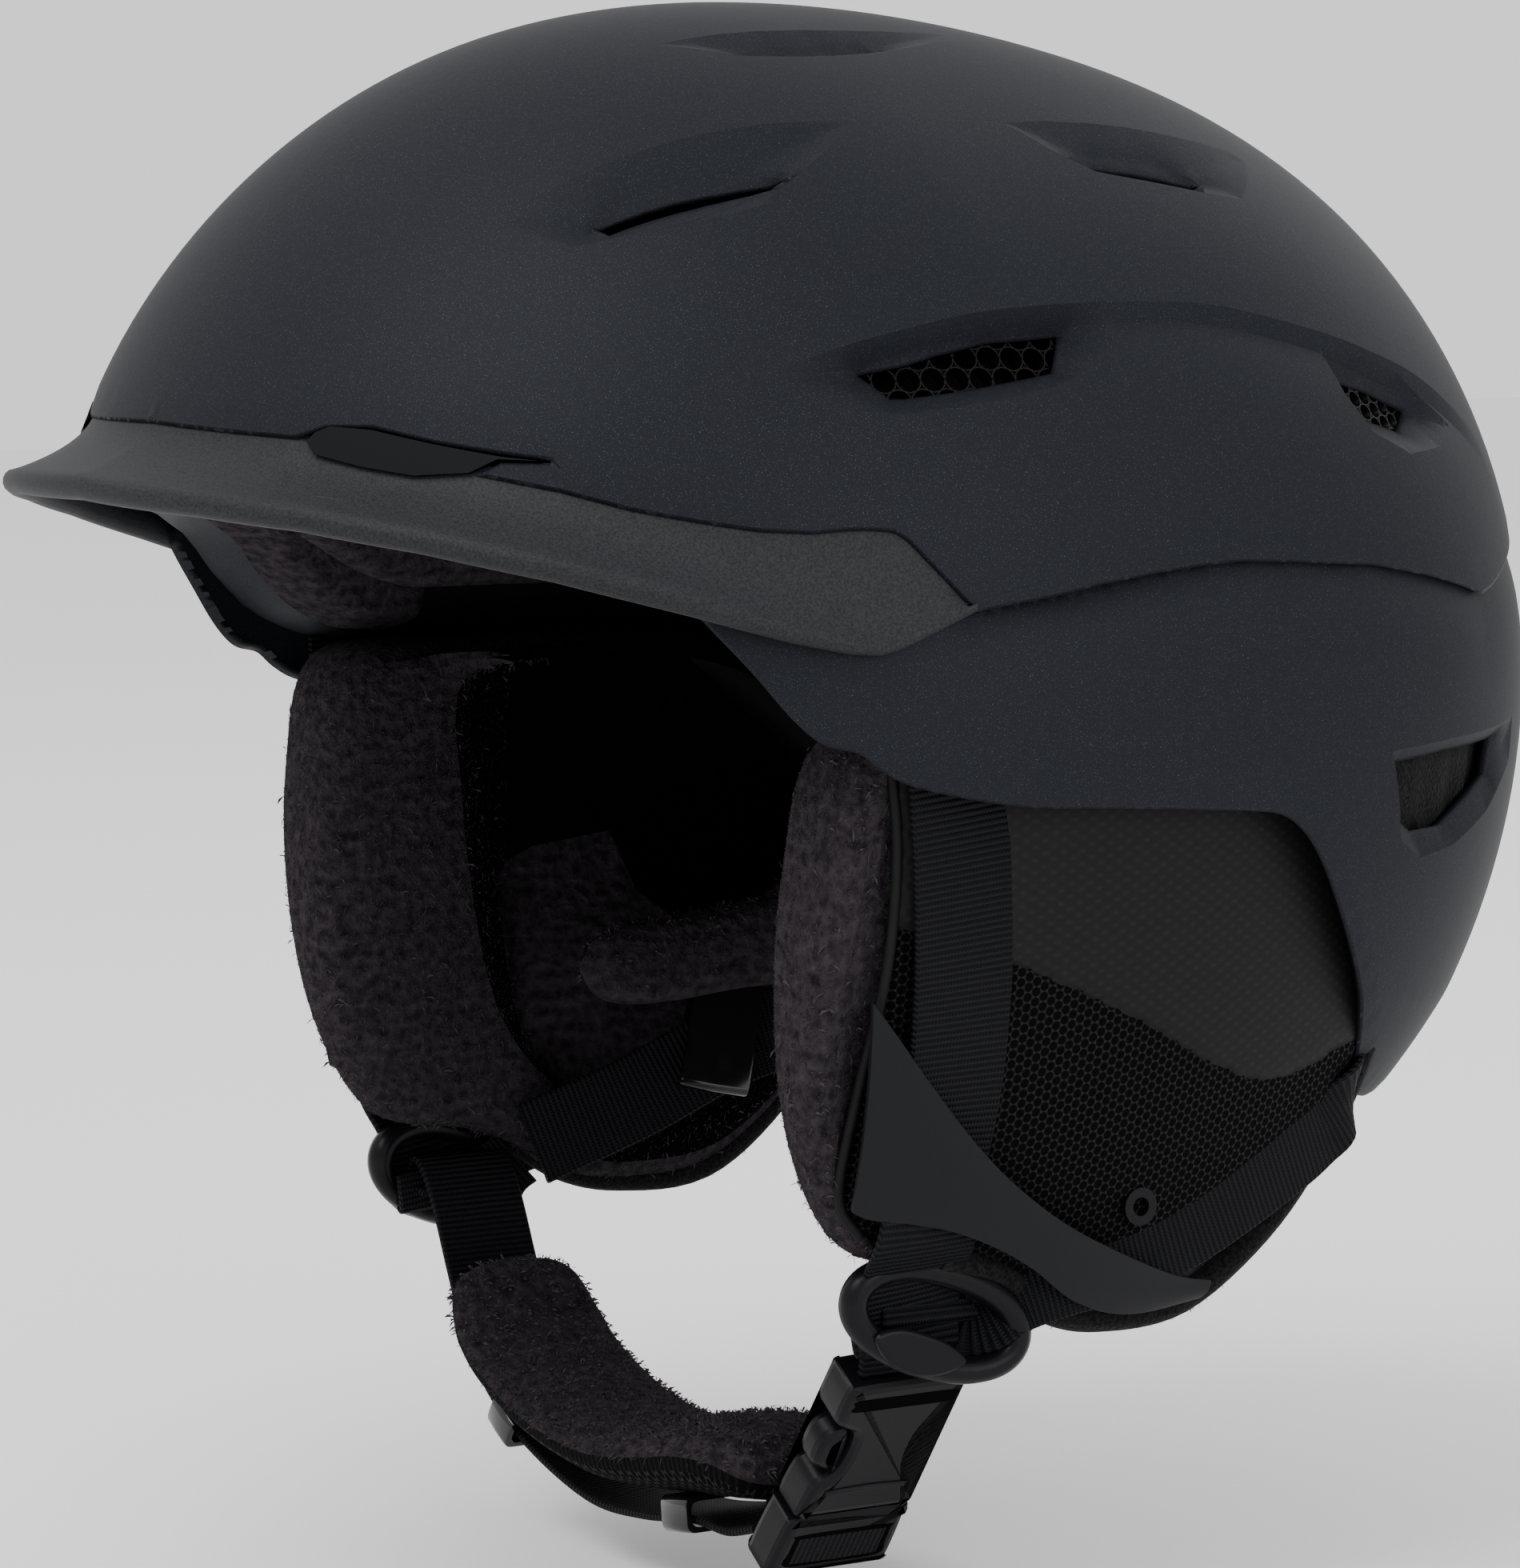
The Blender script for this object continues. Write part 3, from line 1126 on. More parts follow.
@dataclass
class EarPad:
    """A fleece cup over the ear with its panels, piping, wing and straps."""

    side: Side
    outline: Outline = (
        (-46, -19), (-20, -17), (12, -17), (36, -20), (52, -32), (61, -46), (64.5, -60), (62, -77), (54, -93),
        (43, -107), (27, -118), (9, -119), (-3, -116.5), (-14, -110), (-24, -106), (-35, -104.5), (-45, -99),
        (-52, -84), (-54.5, -64), (-53, -40),
    )
    recess: Outline = (
        (-20, -24), (2, -21), (20, -21), (38, -26), (50, -38), (55, -54), (53, -72), (43, -88), (27, -99),
        (9, -103),
        (-2, -99), (-9, -92), (-12, -84), (-14, -74), (-16, -62), (-19, -44),
    )
    panel_front: Outline = ((-45, -20), (-43.5, -36), (-44, -55), (-46.5, -75), (-47, -92), (-42, -99.5))
    panel_rest: Outline = ((-33, -101.5), (-22, -103), (-13, -107), (-2, -113.5), (9, -115.5), (22, -113.5),
                           (36, -104),
                           (49, -91), (59, -76), (62, -60), (58.5, -46), (50, -33), (35, -22), (10, -19),
                           (-20, -19))
    split: Outline = ((-47, -46.5), (-32, -51.5), (-18, -57), (0, -65), (18, -74.5), (30, -79.5), (42, -79.5),
                      (52, -76.5), (66, -71))
    wing_top: Outline = ((-48, -59), (-44, -64), (-36, -74), (-27, -84), (-18, -92), (-7, -99.5), (6, -106),
                         (18, -111), (27, -113.4))
    wing_bottom: Outline = ((-46.5, -94), (-43, -95.5), (-36, -96.7), (-28.5, -98.5), (-20, -102),
                            (-12, -106.5),
                            (-2, -113.3), (10, -116.8), (25.5, -115.8))

    def named(self, name: str) -> str:
        """A piece's name on this side."""
        return self.side.named(name)

    def cup(self) -> bpy.types.Object:
        """The fleece body with its ear recess."""
        outer = closed_curve(self.outline, 5)
        angles = np.linspace(0, 1, len(outer), endpoint=False)
        hole = closed_curve(self.recess, 8)
        turn = np.linspace(0, 1, len(hole), endpoint=False)
        hole = np.stack([np.interp(angles, turn, hole[:, k], period=1) for k in (0, 1)], axis=1)
        middle = hole.mean(axis=0)
        centre = outer.mean(axis=0)
        face = ear_x(outer[:, 0], outer[:, 1])
        front = np.clip((-34 - outer[:, 0]) / 8, 0, 1)

        def ring(line: Array, scale: float, about: Array, x: Any) -> Array:
            """An outline scaled about a point and put at this X."""
            flat = about + (line - about) * scale
            return np.stack([np.broadcast_to(x, len(line)), flat[:, 0], flat[:, 1]], axis=1)

        between = (outer + hole) / 2
        deep = ear_x(hole[:, 0], hole[:, 1])
        rings = [
            ring(hole, 0.5, middle, np.minimum(90.0, deep - 3.0)),
            ring(hole, 0.88, middle, np.minimum(89.0, deep - 3.6)),
            ring(hole, 1.0, middle, np.minimum(85.0, deep - 4.6)),
            ring(hole, 1.03, middle, np.minimum(79.0, deep - 5.5)),
            ring(hole * 0.8 + outer * 0.2, 1.0, middle, 75.0),
            ring(between, 1.0, middle, 73.2),
            ring(hole * 0.25 + outer * 0.75, 1.0, middle, 73.4),
            ring(outer, 0.965, centre, 74.6),
            ring(outer, 1.0, centre, 77.5),
            ring(outer, 1.012, centre, 77.5 + (face - 77.5) * 0.5),
            ring(outer, 1.0, centre, face - 2.6 + 2.4 * front),
            ring(outer, 0.975, centre, face - 1.0 + 2.6 * front),
            ring(outer, 0.93, centre, face - 0.4 + 1.6 * front),
            ring(outer, 0.86, centre, face - 0.4),
            ring(outer, 0.6, centre, face + 0.2)]
        points = np.vstack(rings) * [self.side.value, 1, 1]
        count = len(outer)
        faces = grid_faces(len(rings), count, 0, True) + caps(count, len(points))
        obj = piece(self.named("ear_cup"), points, faces, FLEECE, sharp=70)
        obj.data.materials.append(DARK.material())
        floor_cap = len(obj.data.polygons) - 2
        for polygon in obj.data.polygons:
            y, z = polygon.center.y / MM, polygon.center.z / MM
            dark_rings = 6 if y > -8 or (z > -36 and y > -18) else 4
            if polygon.index < dark_rings * count or polygon.index == floor_cap:
                polygon.material_index = 1
        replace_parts(obj, self.named("ear_pad"))
        return obj

    def panel(self, name: str, outline: Any, lift: float, thick: float, finish: Finish) -> None:
        """A sewn-on panel over the outer face."""
        verts, faces = fill(np.asarray(outline, float), 2.4)
        edge_drop = np.clip(1 - distance_to(verts, np.asarray(outline, float), True) / 2.2, 0, 1) ** 2
        points = on_ear(verts, lift, self.side)
        points[:, 0] -= self.side.value * edge_drop * 0.7
        obj = piece(self.named(name), points, faces, finish, uv=verts)
        thicken(obj, thick)

    def panels(self) -> None:
        """Mesh below, laminate above, felt and piping round the edge, and the dark ear recess."""
        whole = np.array([*self.panel_front, *self.panel_rest], float)
        self.panel("mesh_panel", whole, 0.75, 0.5, MESH)
        upper = [(-44.2, -47.5), *self.split[1:-1], (59.0, -75.0), (62, -60), (58.5, -46), (50, -33),
                 (35, -22),
                 (10, -19), (-20, -19), (-45, -20), (-43.6, -36)]
        self.panel("laminate_panel", upper, 1.25, 0.5, LAMINATE)
        tube(self.named("front_piping"), on_ear(self.panel_front, 0.9, self.side), 0.9, LAMINATE)
        felt = [(-26, -104), (-14, -108.5), (-3, -115.5), (9, -118.5), (26, -117.6), (42, -107), (53, -93),
                (61.5, -77), (63.8, -60), (60, -45)]
        tube(self.named("felt_edge"), on_ear(felt, -1.2, self.side), 2.7, FELT)

    def wing(self) -> None:
        """The thin wing that guides the front strap over the pad."""
        top, bottom = curve_through(self.wing_top, 6), curve_through(self.wing_bottom, 6)
        shares = np.linspace(0, 1, 12)
        rows = []
        for s in shares:
            flat = top * (1 - s) + bottom * s
            crown = 0.7 * math.sin(math.pi * s)
            rows.append(on_ear(flat, 4.5 + crown, self.side))
        obj = piece(self.named("wing_plate"), np.vstack(rows), grid_faces(len(rows), len(top)), WING,
                    sharp=60)
        thicken(obj, 1.5)
        soften(obj, 0.45, 3)
        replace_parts(obj, self.named("ear_wing"))

    def straps(self) -> None:
        """The front and rear straps down to the divider."""
        s = self.side.value
        x = 78.6 if self.side is Side.LEFT else 79.6
        on_pad = on_ear(((-35, -15), (-34.3, -26), (-33, -40), (-31.6, -57), (-31, -75), (-31.5, -90)), 2.2,
                        self.side)
        ends = np.array([(s * 87.6, -32, -100), (s * (x + 3.2), -30.5, -107.0),
                         (s * (x + 0.6), -29.5, -113.0),
                         (s * (x - 0.4), -29, -118.6), (s * (x - 2.6), -29, -119.6),
                         (s * (x - 2.8), -30, -112.5)])
        lean = [(0, 1, 0.03)] * 6 + [(0, 1, -0.1)] * 6
        front = ribbon(self.named("front_webbing"), np.vstack([on_pad, ends]), lean, 18.4, 1.3, WEBBING)
        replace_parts(front, self.named("front_strap"), self.named("front_anchor"))
        on_pad = on_ear(((60, -80), (58, -85.5), (51, -90.5), (42, -95), (31, -100), (19, -105), (6, -108.6),
                         (-3, -109.8)), 2.0, self.side)
        on_pad[:2] = (s * 73.0, 64.0, -80.0), (s * 81.5, 58.0, -85.0)
        end = np.array([(s * (x + 4.5), -11.2, -112.0), (s * (x + 1.5), -15.6, -115.6),
                        (s * (x - 1.4), -18.0, -116.0),
                        (s * (x - 2.4), -14.0, -112.4)])
        tilt = [(0, 0.28, 1), (0, 0.28, 1), (0, 0.3, 1), (0, 0.35, 1), (0, 0.4, 1), (0, 0.4, 1), (0, 0.3, 1),
                (0, 0.25, 1), (0, 0.35, 1), (0.1, 0.5, 1), (0.1, 0.6, 1), (0.1, 0.6, 1)]
        rear = ribbon(self.named("rear_webbing"), np.vstack([on_pad, end]), tilt, 12.5, 1.3, WEBBING)
        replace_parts(rear, self.named("rear_strap"), self.named("rear_anchor"))

    def build(self) -> bpy.types.Object:
        """Builds all of them and returns the fleece cup."""
        cup = self.cup()
        self.panels()
        self.wing()
        self.straps()
        return cup


@dataclass
class Fibres:
    """Loose fleece fibres standing on a pad, as thin triangles."""

    width: float = 0.12
    shortest: float = 0.8
    longest: float = 2.0
    seed: int = 7

    def grow(self, name: str, source: bpy.types.Object, count: int, keep: Callable[[Array, Array], Array],
             body: str = "helmet") -> None:
        """Grows fibres on part of a mesh.

        Args:
            name: the new object's name.
            source: the pad.
            count: how many fibres are tried.
            keep: which places grow fibres, from points and normals in millimetres.
            body: the moving body they ride on.
        """
        rng = np.random.default_rng(self.seed)
        mesh = source.data
        mesh.calc_loop_triangles()
        tris = np.empty(len(mesh.loop_triangles) * 3, np.int32)
        mesh.loop_triangles.foreach_get("vertices", tris)
        verts = np.empty(len(mesh.vertices) * 3, np.float32)
        mesh.vertices.foreach_get("co", verts)
        corners = verts.reshape(-1, 3).astype(float)[tris.reshape(-1, 3)] / MM
        cross = np.cross(corners[:, 1] - corners[:, 0], corners[:, 2] - corners[:, 0])
        area = np.linalg.norm(cross, axis=1)
        chosen = rng.choice(len(area), count, p=area / area.sum())
        r1, r2 = np.sqrt(rng.random(count)), rng.random(count)
        weights = np.stack([1 - r1, r1 * (1 - r2), r1 * r2], axis=1)
        places = (corners[chosen] * weights[:, :, None]).sum(axis=1)
        normals = unit(cross[chosen])
        kept = keep(places, normals)
        places, normals = places[kept], normals[kept]
        lean = unit(normals * 0.75 + rng.normal(0, 0.42, places.shape) + [0, 0, -0.22])
        aside = unit(np.cross(lean, rng.normal(0, 1, places.shape)))
        length = rng.uniform(self.shortest, self.longest, (len(places), 1))
        base = places - normals * 0.2
        bend = base + lean * length * 0.6 + rng.normal(0, 0.12, places.shape)
        tip = base + lean * length + [0, 0, -0.25] * length
        points = np.stack([base - aside * self.width / 2, base + aside * self.width / 2,
                           bend + aside * self.width * 0.3, tip], axis=1).reshape(-1, 3)
        start = np.arange(len(places)) * 4
        faces = np.concatenate([np.stack([start, start + 1, start + 2], 1),
                                np.stack([start, start + 2, start + 3], 1)])
        mesh = bpy.data.meshes.new(name)
        mesh.vertices.add(len(points))
        mesh.vertices.foreach_set("co", (points * MM).astype(np.float32).ravel())
        mesh.loops.add(len(faces) * 3)
        mesh.loops.foreach_set("vertex_index", faces.astype(np.int32).ravel())
        mesh.polygons.add(len(faces))
        mesh.polygons.foreach_set("loop_start", np.arange(0, len(faces) * 3, 3, dtype=np.int32))
        mesh.update(calc_edges=True)
        mesh.validate()
        mesh.materials.append(PILE.material())
        obj = bpy.data.objects.new(name, mesh)
        bpy.context.scene.collection.objects.link(obj)
        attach(obj, body)


def padded_strip(name: str, route: Any, across: Any, width: Sequence[float], thickness: Sequence[float],
                 top: Finish, under: Finish, body: str = "helmet", above: float = 0.62,
                 parts: int = 7) -> bpy.types.Object:
    """A long pad with a crowned top of one cloth and an underside of another.

    Args:
        name: the object's name.
        route: points on its middle line.
        across: its width direction.
        width: widths at even steps along it, in millimetres.
        thickness: thicknesses at even steps along it.
        top: the look of its top.
        under: the look of its underside.
        body: the moving body it rides on.
        above: how much of its thickness is above the middle line.
        parts: how many steps the curve takes between two points.

    Returns:
        The object.
    """
    line = curve_through(route, parts)
    count = len(line)
    share = np.linspace(0, 1, count)
    knots = np.linspace(0, 1, len(width))
    widths, thicks = np.interp(share, knots, width), np.interp(share, knots, thickness)
    ends = np.sqrt(np.clip(1 - np.abs(2 * share - 1) ** 14, 0.02, 1))
    way = unit(np.broadcast_to(np.asarray(across, float), line.shape))
    ahead = unit(np.gradient(line, axis=0))
    way = square_to(way, ahead)
    normal = np.cross(ahead, way)
    angles = np.radians(np.arange(0, 360, 15))
    points, uv = [], []
    lengths = run_along(line)
    c, s = np.cos(angles), np.sin(angles)
    for i in range(count):
        x = np.sign(c) * np.abs(c) ** 0.75 * widths[i] / 2 * ends[i]
        puff = np.where(s > 0, above, 1 - above) * thicks[i] * ends[i]
        y = np.sign(s) * np.abs(s) ** 0.85 * puff
        points.append(line[i] + np.outer(x, way[i]) + np.outer(y, normal[i]))
        uv.append(np.stack([np.full(len(x), lengths[i]), x + np.where(s > 0, 0, 40)], axis=1))
    sides = len(angles)
    faces = grid_faces(count, sides, 0, True) + caps(sides, count * sides)
    obj = piece(name, np.vstack(points), faces, top, body, np.vstack(uv), sharp=75)
    obj.data.materials.append(under.material())
    for polygon in obj.data.polygons:
        if polygon.index < (count - 1) * sides and polygon.index % sides >= sides // 2:
            polygon.material_index = 1
    return obj


def mirrored(half: Sequence[tuple[float, float, float]], middle: tuple[float, float, float]) -> list[Any]:
    """A route from the wearer's left over a middle point and back on the right."""
    return [*half, middle, *[(-x, y, z) for x, y, z in half[::-1]]]


@dataclass
class Neck:
    """The roll and the strap round the nape."""

    def build(self) -> bpy.types.Object:
        """Builds both and returns the roll."""
        half = [(66.5, -6, -76.5), (66, 8, -76.5), (62.5, 30, -74), (50, 56, -71), (27, 73, -69)]
        route = mirrored(half, (0, 79.5, -68))
        roll = padded_strip("nape_roll", route, (0, 0, -1), (15, 17, 17, 15), (8.5, 9.5, 9.5, 8.5), FLEECE,
                            MESH)
        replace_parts(roll, "nape_pad")
        half = [(69.5, -14.5, -109), (67, 5, -102), (62.5, 27, -92), (54, 50, -87), (34, 71, -85)]
        route = mirrored(half, (0, 80, -84.5))
        lean = [(0.1, 0.25, 1)] * 5 + [(0, 0.1, 1)] + [(-0.1, 0.25, 1)] * 5
        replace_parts(ribbon("nape_webbing", route, lean, 15.5, 1.4, WEBBING), "nape_strap")
        return roll


@dataclass
class Chin:
    """The chin strap's webbing and its pad."""

    y: float = STRAP_Y
    webbing: Any = field(default=None, init=False)

    def build(self) -> bpy.types.Object:
        """Builds the webbing and the pad; returns the pad."""
        y = self.y
        short = [(76.9, y, -116.6), (79.7, y, -114.6), (78.4, y, -111.3), (75.2, y, -113.4),
                 (74.2, y, -118.5),
                 (72.8, y, -124.6)]
        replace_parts(ribbon("short_webbing", short, (0, 1, 0), 18.6, 1.5, WEBBING, "chin_strap"),
                    "chin_strap_left")
        route = [(-74.0, y, -117.0), (-79.5, y, -115.8), (-78.9, y, -111.6), (-75.4, y, -112.0),
                 (-70.5, y, -118),
                 (-64.5, y, -130), (-58.5, y, -141), (-48.5, y, -150.5), (-34, y, -157.5), (-14, y, -162.2),
                 (4, y, -161.5), (20, y, -159), (31, y, -159), (39.8, y, -156.8)]
        self.webbing = ribbon("long_webbing", route, (0, 1, 0), 18.6, 1.4, WEBBING, "")
        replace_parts(self.webbing, "chin_strap_right")
        pad_route = [(-57.5, y, -127), (-54.8, y, -133.4), (-49.4, y, -139.8), (-41.5, y, -144.6),
                     (-27, y, -149.4),
                     (-8, y, -151.6), (10, y, -149.4), (24, y, -146.6), (35, y, -146.4), (42, y, -149.6)]
        pad = padded_strip("chin_cushion", pad_route, (0, 1, 0), (25, 30, 31, 31, 30, 25),
                           (5, 8, 9, 11, 14, 11),
                           FLEECE, MESH, "chin_strap", 0.42)
        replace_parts(pad, "chin_pad")
        return pad

    def finish(self) -> None:
        """Lets the long strap's end follow the plug."""
        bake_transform(self.webbing)


@dataclass
class Crown:
    """The thin pad under the top of the foam."""

    def build(self) -> None:
        """Builds it."""
        azimuth = np.linspace(0, 360, 49)[:-1]
        rings = []
        for elevation, inset in ((62, 26.4), (61, 27.4), (61.5, 29), (66, 29.6), (78, 29.4), (87, 29.4)):
            rings.append(DOME.at(azimuth, elevation, inset))
        for elevation, inset in ((87, 25.2), (72, 25.2), (63, 25.4)):
            rings.append(DOME.at(azimuth, elevation, inset))
        count = len(azimuth)
        faces = grid_faces(len(rings), count, 0, True) + closing_row(len(rings), count)
        obj = piece("crown_cushion", np.vstack(rings), faces, FLEECE, sharp=70)
        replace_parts(obj, "crown_pad")


def lozenge(name: str, outline: Any, thickness: float, radius: float, place: Callable[[Array], Array],
            finish: Finish, body: str = "helmet", parts: int = 4) -> bpy.types.Object:
    """A plate of any smooth outline with rounded edges.

    Args:
        name: the object's name.
        outline: points of a closed outline, counter-clockwise.
        thickness: its thickness in millimetres.
        radius: the radius of its edges.
        place: turns flat points with a height, an array of three columns, into the helmet's coordinates.
        finish: its look.
        body: the moving body it rides on.
        parts: how many steps the curve takes between two outline points.

    Returns:
        The object.
    """
    flat = resample(closed_curve(outline, parts), 0.8, True)
    ahead = unit(np.roll(flat, -1, axis=0) - np.roll(flat, 1, axis=0))
    inward = np.stack([-ahead[:, 1], ahead[:, 0]], axis=1)
    half = thickness / 2
    rings = []
    for sign, turns in ((-1, (90, 60, 30, 0)), (1, (0, 30, 60, 90))):
        for turn in np.radians(turns):
            ring = flat + inward * radius * (1 - math.cos(turn))
            height = sign * (half - radius + radius * math.sin(turn))
            rings.append(np.column_stack([ring, np.full(len(ring), height)]))
    count = len(flat)
    points = place(np.vstack(rings))
    faces = grid_faces(len(rings), count, 0, True) + caps(count, len(points))
    return piece(name, points, faces, finish, body, sharp=14)


@dataclass
class Frame:
    """A flat frame of reference: an origin and three directions."""

    origin: tuple[float, float, float]
    across: tuple[float, float, float]
    along: tuple[float, float, float]

    def place(self, points: Array) -> Array:
        """Points from (across, along, out) to the helmet's coordinates."""
        x, y = unit(np.array(self.across, float)), unit(np.array(self.along, float))
        y = unit(y - (y @ x) * x)
        return np.array(self.origin) + points @ np.stack([x, y, np.cross(x, y)])


@dataclass
class Buckle:
    """Side-release buckle: socket, plug and the two prongs pressed to open it."""

    frame: Frame = field(default_factory=lambda: Frame((71.5, STRAP_Y, -124.0), (0, 1, 0), (-0.58, 0, -0.81)))
    socket: Outline = (
        (-11.4, 1.2), (-10.2, 0), (0, -0.3), (10.2, 0), (11.4, 1.2), (11.7, 5), (11.3, 8.6), (9.4, 10.2),
        (7.2, 11.4),
        (6.5, 14), (6.5, 18), (7.4, 21), (9.8, 22.8), (10.6, 25), (10.9, 30.2), (10.0, 31), (0, 31.1),
        (-10.0, 31),
        (-10.9, 30.2), (-10.6, 25), (-9.8, 22.8), (-7.4, 21), (-6.5, 18), (-6.5, 14), (-7.2, 11.4),
        (-9.4, 10.2),
        (-11.3, 8.6), (-11.7, 5))
    plug: Outline = (
        (-10.9, 31.6), (0, 31.5), (10.9, 31.6), (11.6, 32.8), (12.0, 38), (12.0, 43.6), (11.0, 45.2),
        (0, 45.6),
        (-11.0, 45.2), (-12.0, 43.6), (-12.0, 38), (-11.6, 32.8))
    prong: Outline = ((-2.2, 11.9), (0.6, 11.7), (2.6, 13.6), (3.0, 16.4), (2.5, 19.4), (0.6, 21.0),
                      (-0.7, 21.8),
                      (-1.0, 26), (-1.0, 32.6), (-1.6, 33.2), (-3.0, 33.2), (-3.6, 32.6), (-3.6, 26),
                      (-3.2, 20))

    def build(self) -> None:
        """Builds them all."""
        place = self.frame.place
        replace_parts(lozenge("socket_body", self.socket, 8.6, 1.7, place, BUCKLE, "chin_strap"),
                    "buckle_socket")
        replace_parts(lozenge("plug_body", self.plug, 8.2, 1.7, place, BUCKLE, "plug"), "buckle_plug")
        box = ((-9.2, 35.4), (0, 35.2), (9.2, 35.4), (9.5, 36.3), (9.6, 39.5), (9.3, 42.8), (0, 43.1),
               (-9.3, 42.8),
               (-9.6, 39.5), (-9.5, 36.3))
        slot = ((-9.4, 2.9), (0, 2.8), (9.4, 2.9), (9.8, 4.2), (9.4, 5.5), (0, 5.6), (-9.4, 5.5), (-9.8, 4.2))
        for sign, face in ((1, "front"), (-1, "back")):
            def lifted(points: Array, sign: int = sign) -> Array:
                """Points on the buckle's front or back face."""
                return place(points + [0, 0, sign * 4.0])
            lozenge(f"plug_window_{face}", box, 0.4, 0.1, lifted, DARK, "plug")
            lozenge(f"socket_slot_{face}", slot, 0.8, 0.1, lifted, DARK, "chin_strap")
            route = place(np.array([(-8.6, 39.2, sign * 3.9), (0, 39.2, sign * 4.05),
                                    (8.6, 39.2, sign * 3.9)]))
            ribbon(f"plug_webbing_{face}", route, self.frame.along, 6.4, 0.6, WEBBING, "plug")
        ridge = ((-7.5, 24.4), (0, 24.0), (7.5, 24.4), (7.9, 25.0), (7.5, 25.6), (0, 25.3), (-7.5, 25.6),
                 (-7.9, 25.0))
        lozenge("socket_ridge", ridge, 9.2, 0.25, place, BUCKLE, "chin_strap")
        for name, sign, node in (("front", -1, "buckle_prong_front"), ("rear", 1, "buckle_prong_rear")):
            outline = [(sign * (x + 8.9), u) for x, u in self.prong]
            outline = outline if sign > 0 else outline[::-1]
            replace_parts(lozenge(f"prong_{name}_pad", outline, 6.4, 2.0, place, BUCKLE, f"prong_{name}"), node)


@dataclass
class Dividers:
    """Oval rings that gather the straps, each with a leaf-shaped cover plate."""

    length: float = 15.4
    height: float = 7.6

    def build(self) -> None:
        """Builds both."""
        for side in Side:
            s = side.value
            centre = np.array([s * (81.4 if side is Side.LEFT else 82.0), STRAP_Y, -114.8])
            ahead = unit(np.array([s * 4.1, 31.0, -10.5]))
            up = unit(np.cross(np.cross(ahead, [0, 0, 1.0]), ahead))
            angles = np.radians(np.arange(0, 360, 15))
            flat = np.sign(np.cos(angles)) * np.abs(np.cos(angles)) ** 0.85
            route = centre + np.outer(flat * self.length, ahead) + np.outer(np.sin(angles) * self.height, up)
            ring = tube(side.named("divider_ring"), route, 2.3, BUCKLE, closed=True, parts=3, flatness=1.15)
            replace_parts(ring, side.named("strap_divider"))
            leaf = ((-8.6, 0.5), (-5, -2.9), (0, -3.9), (5, -2.6), (8.8, 0.6), (5, 2.6), (0, 3.2), (-5, 2.9))
            spot = Frame(tuple(centre + [s * 2.0, -4.6, -4.6]), tuple(ahead), tuple(up))
            lozenge(side.named("divider_leaf"), leaf, 2.0, 0.8, spot.place, BUCKLE)


@dataclass
class Keepers:
    """Glossy bands that hold the webbing to the pads."""

    corner: float = 1.5

    def band(self, name: str, node: str, spot: Frame, width: float, height: float, length: float,
             body: str) -> None:
        """One band round a strap: width across it, height through it, length along it."""
        corner = self.corner
        outline = []
        for cx, cy, start in ((1, 1, 0), (-1, 1, 90), (-1, -1, 180), (1, -1, 270)):
            for turn in np.radians([start, start + 30, start + 60, start + 90]):
                outline.append((cx * (width / 2 - corner) + corner * math.cos(turn),
                                cy * (height / 2 - corner) + corner * math.sin(turn)))
        flat = np.array(outline)
        inner = flat * [(width - 2.4) / width, (height - 2.0) / height]
        half = length / 2
        layers = ((inner, -half), (flat * 0.985, -half), (flat, -half + 0.4), (flat * 1.012, 0),
                  (flat, half - 0.4),
                  (flat * 0.985, half), (inner, half), (inner, -half))
        points = np.vstack([np.column_stack([ring[:, 0], np.full(len(ring), u), ring[:, 1]]) for ring,
                            u in layers])
        faces = grid_faces(len(layers), len(flat), 0, True)
        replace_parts(piece(name, spot.place(points), faces, GLOSSY, body, sharp=40), node)

    def build(self) -> None:
        """Builds the four."""
        near = Frame((-43.0, STRAP_Y, -153.4), (0, 1, 0), (1, 0, -0.62))
        self.band("chin_band_1", "chin_keeper_1", near, 22.5, 6.0, 7.5, "chin_strap")
        far = Frame((17.5, STRAP_Y, -158.4), (0, 1, 0), (1, 0, 0.14))
        self.band("chin_band_2", "chin_keeper_2", far, 22.5, 6.4, 8.5, "chin_strap")
        for side in Side:
            s = side.value
            spot = Frame((s * 63.6, 22.0, -91.0), (s * 0.1, 0.25, 1), (s * -0.2, 0.9, 0.35))
            self.band(side.named("nape_band"), side.named("nape_keeper"), spot, 21.0, 5.6, 13.0, "helmet")


CAD_LOOKS: dict[str, tuple[Finish, float]] = {
    "grommet": (BUCKLE, 0.25), "fit": (WING, 0.4), "clip": (BUCKLE, 0.6),
}


def dress_cad() -> None:
    """Gives every CAD node that stays in view its finish and rounds its edges."""
    for name, obj in frame["nodes"].items():
        look = next((value for key, value in CAD_LOOKS.items() if key in name), None)
        if look is None:
            continue
        finish, edge = look
        obj.data.materials.clear()
        obj.data.materials.append(finish.material())
        for slot in obj.material_slots:
            slot.link = "OBJECT"
            slot.material = finish.material()
        soften(obj, edge, 3, 30.0)


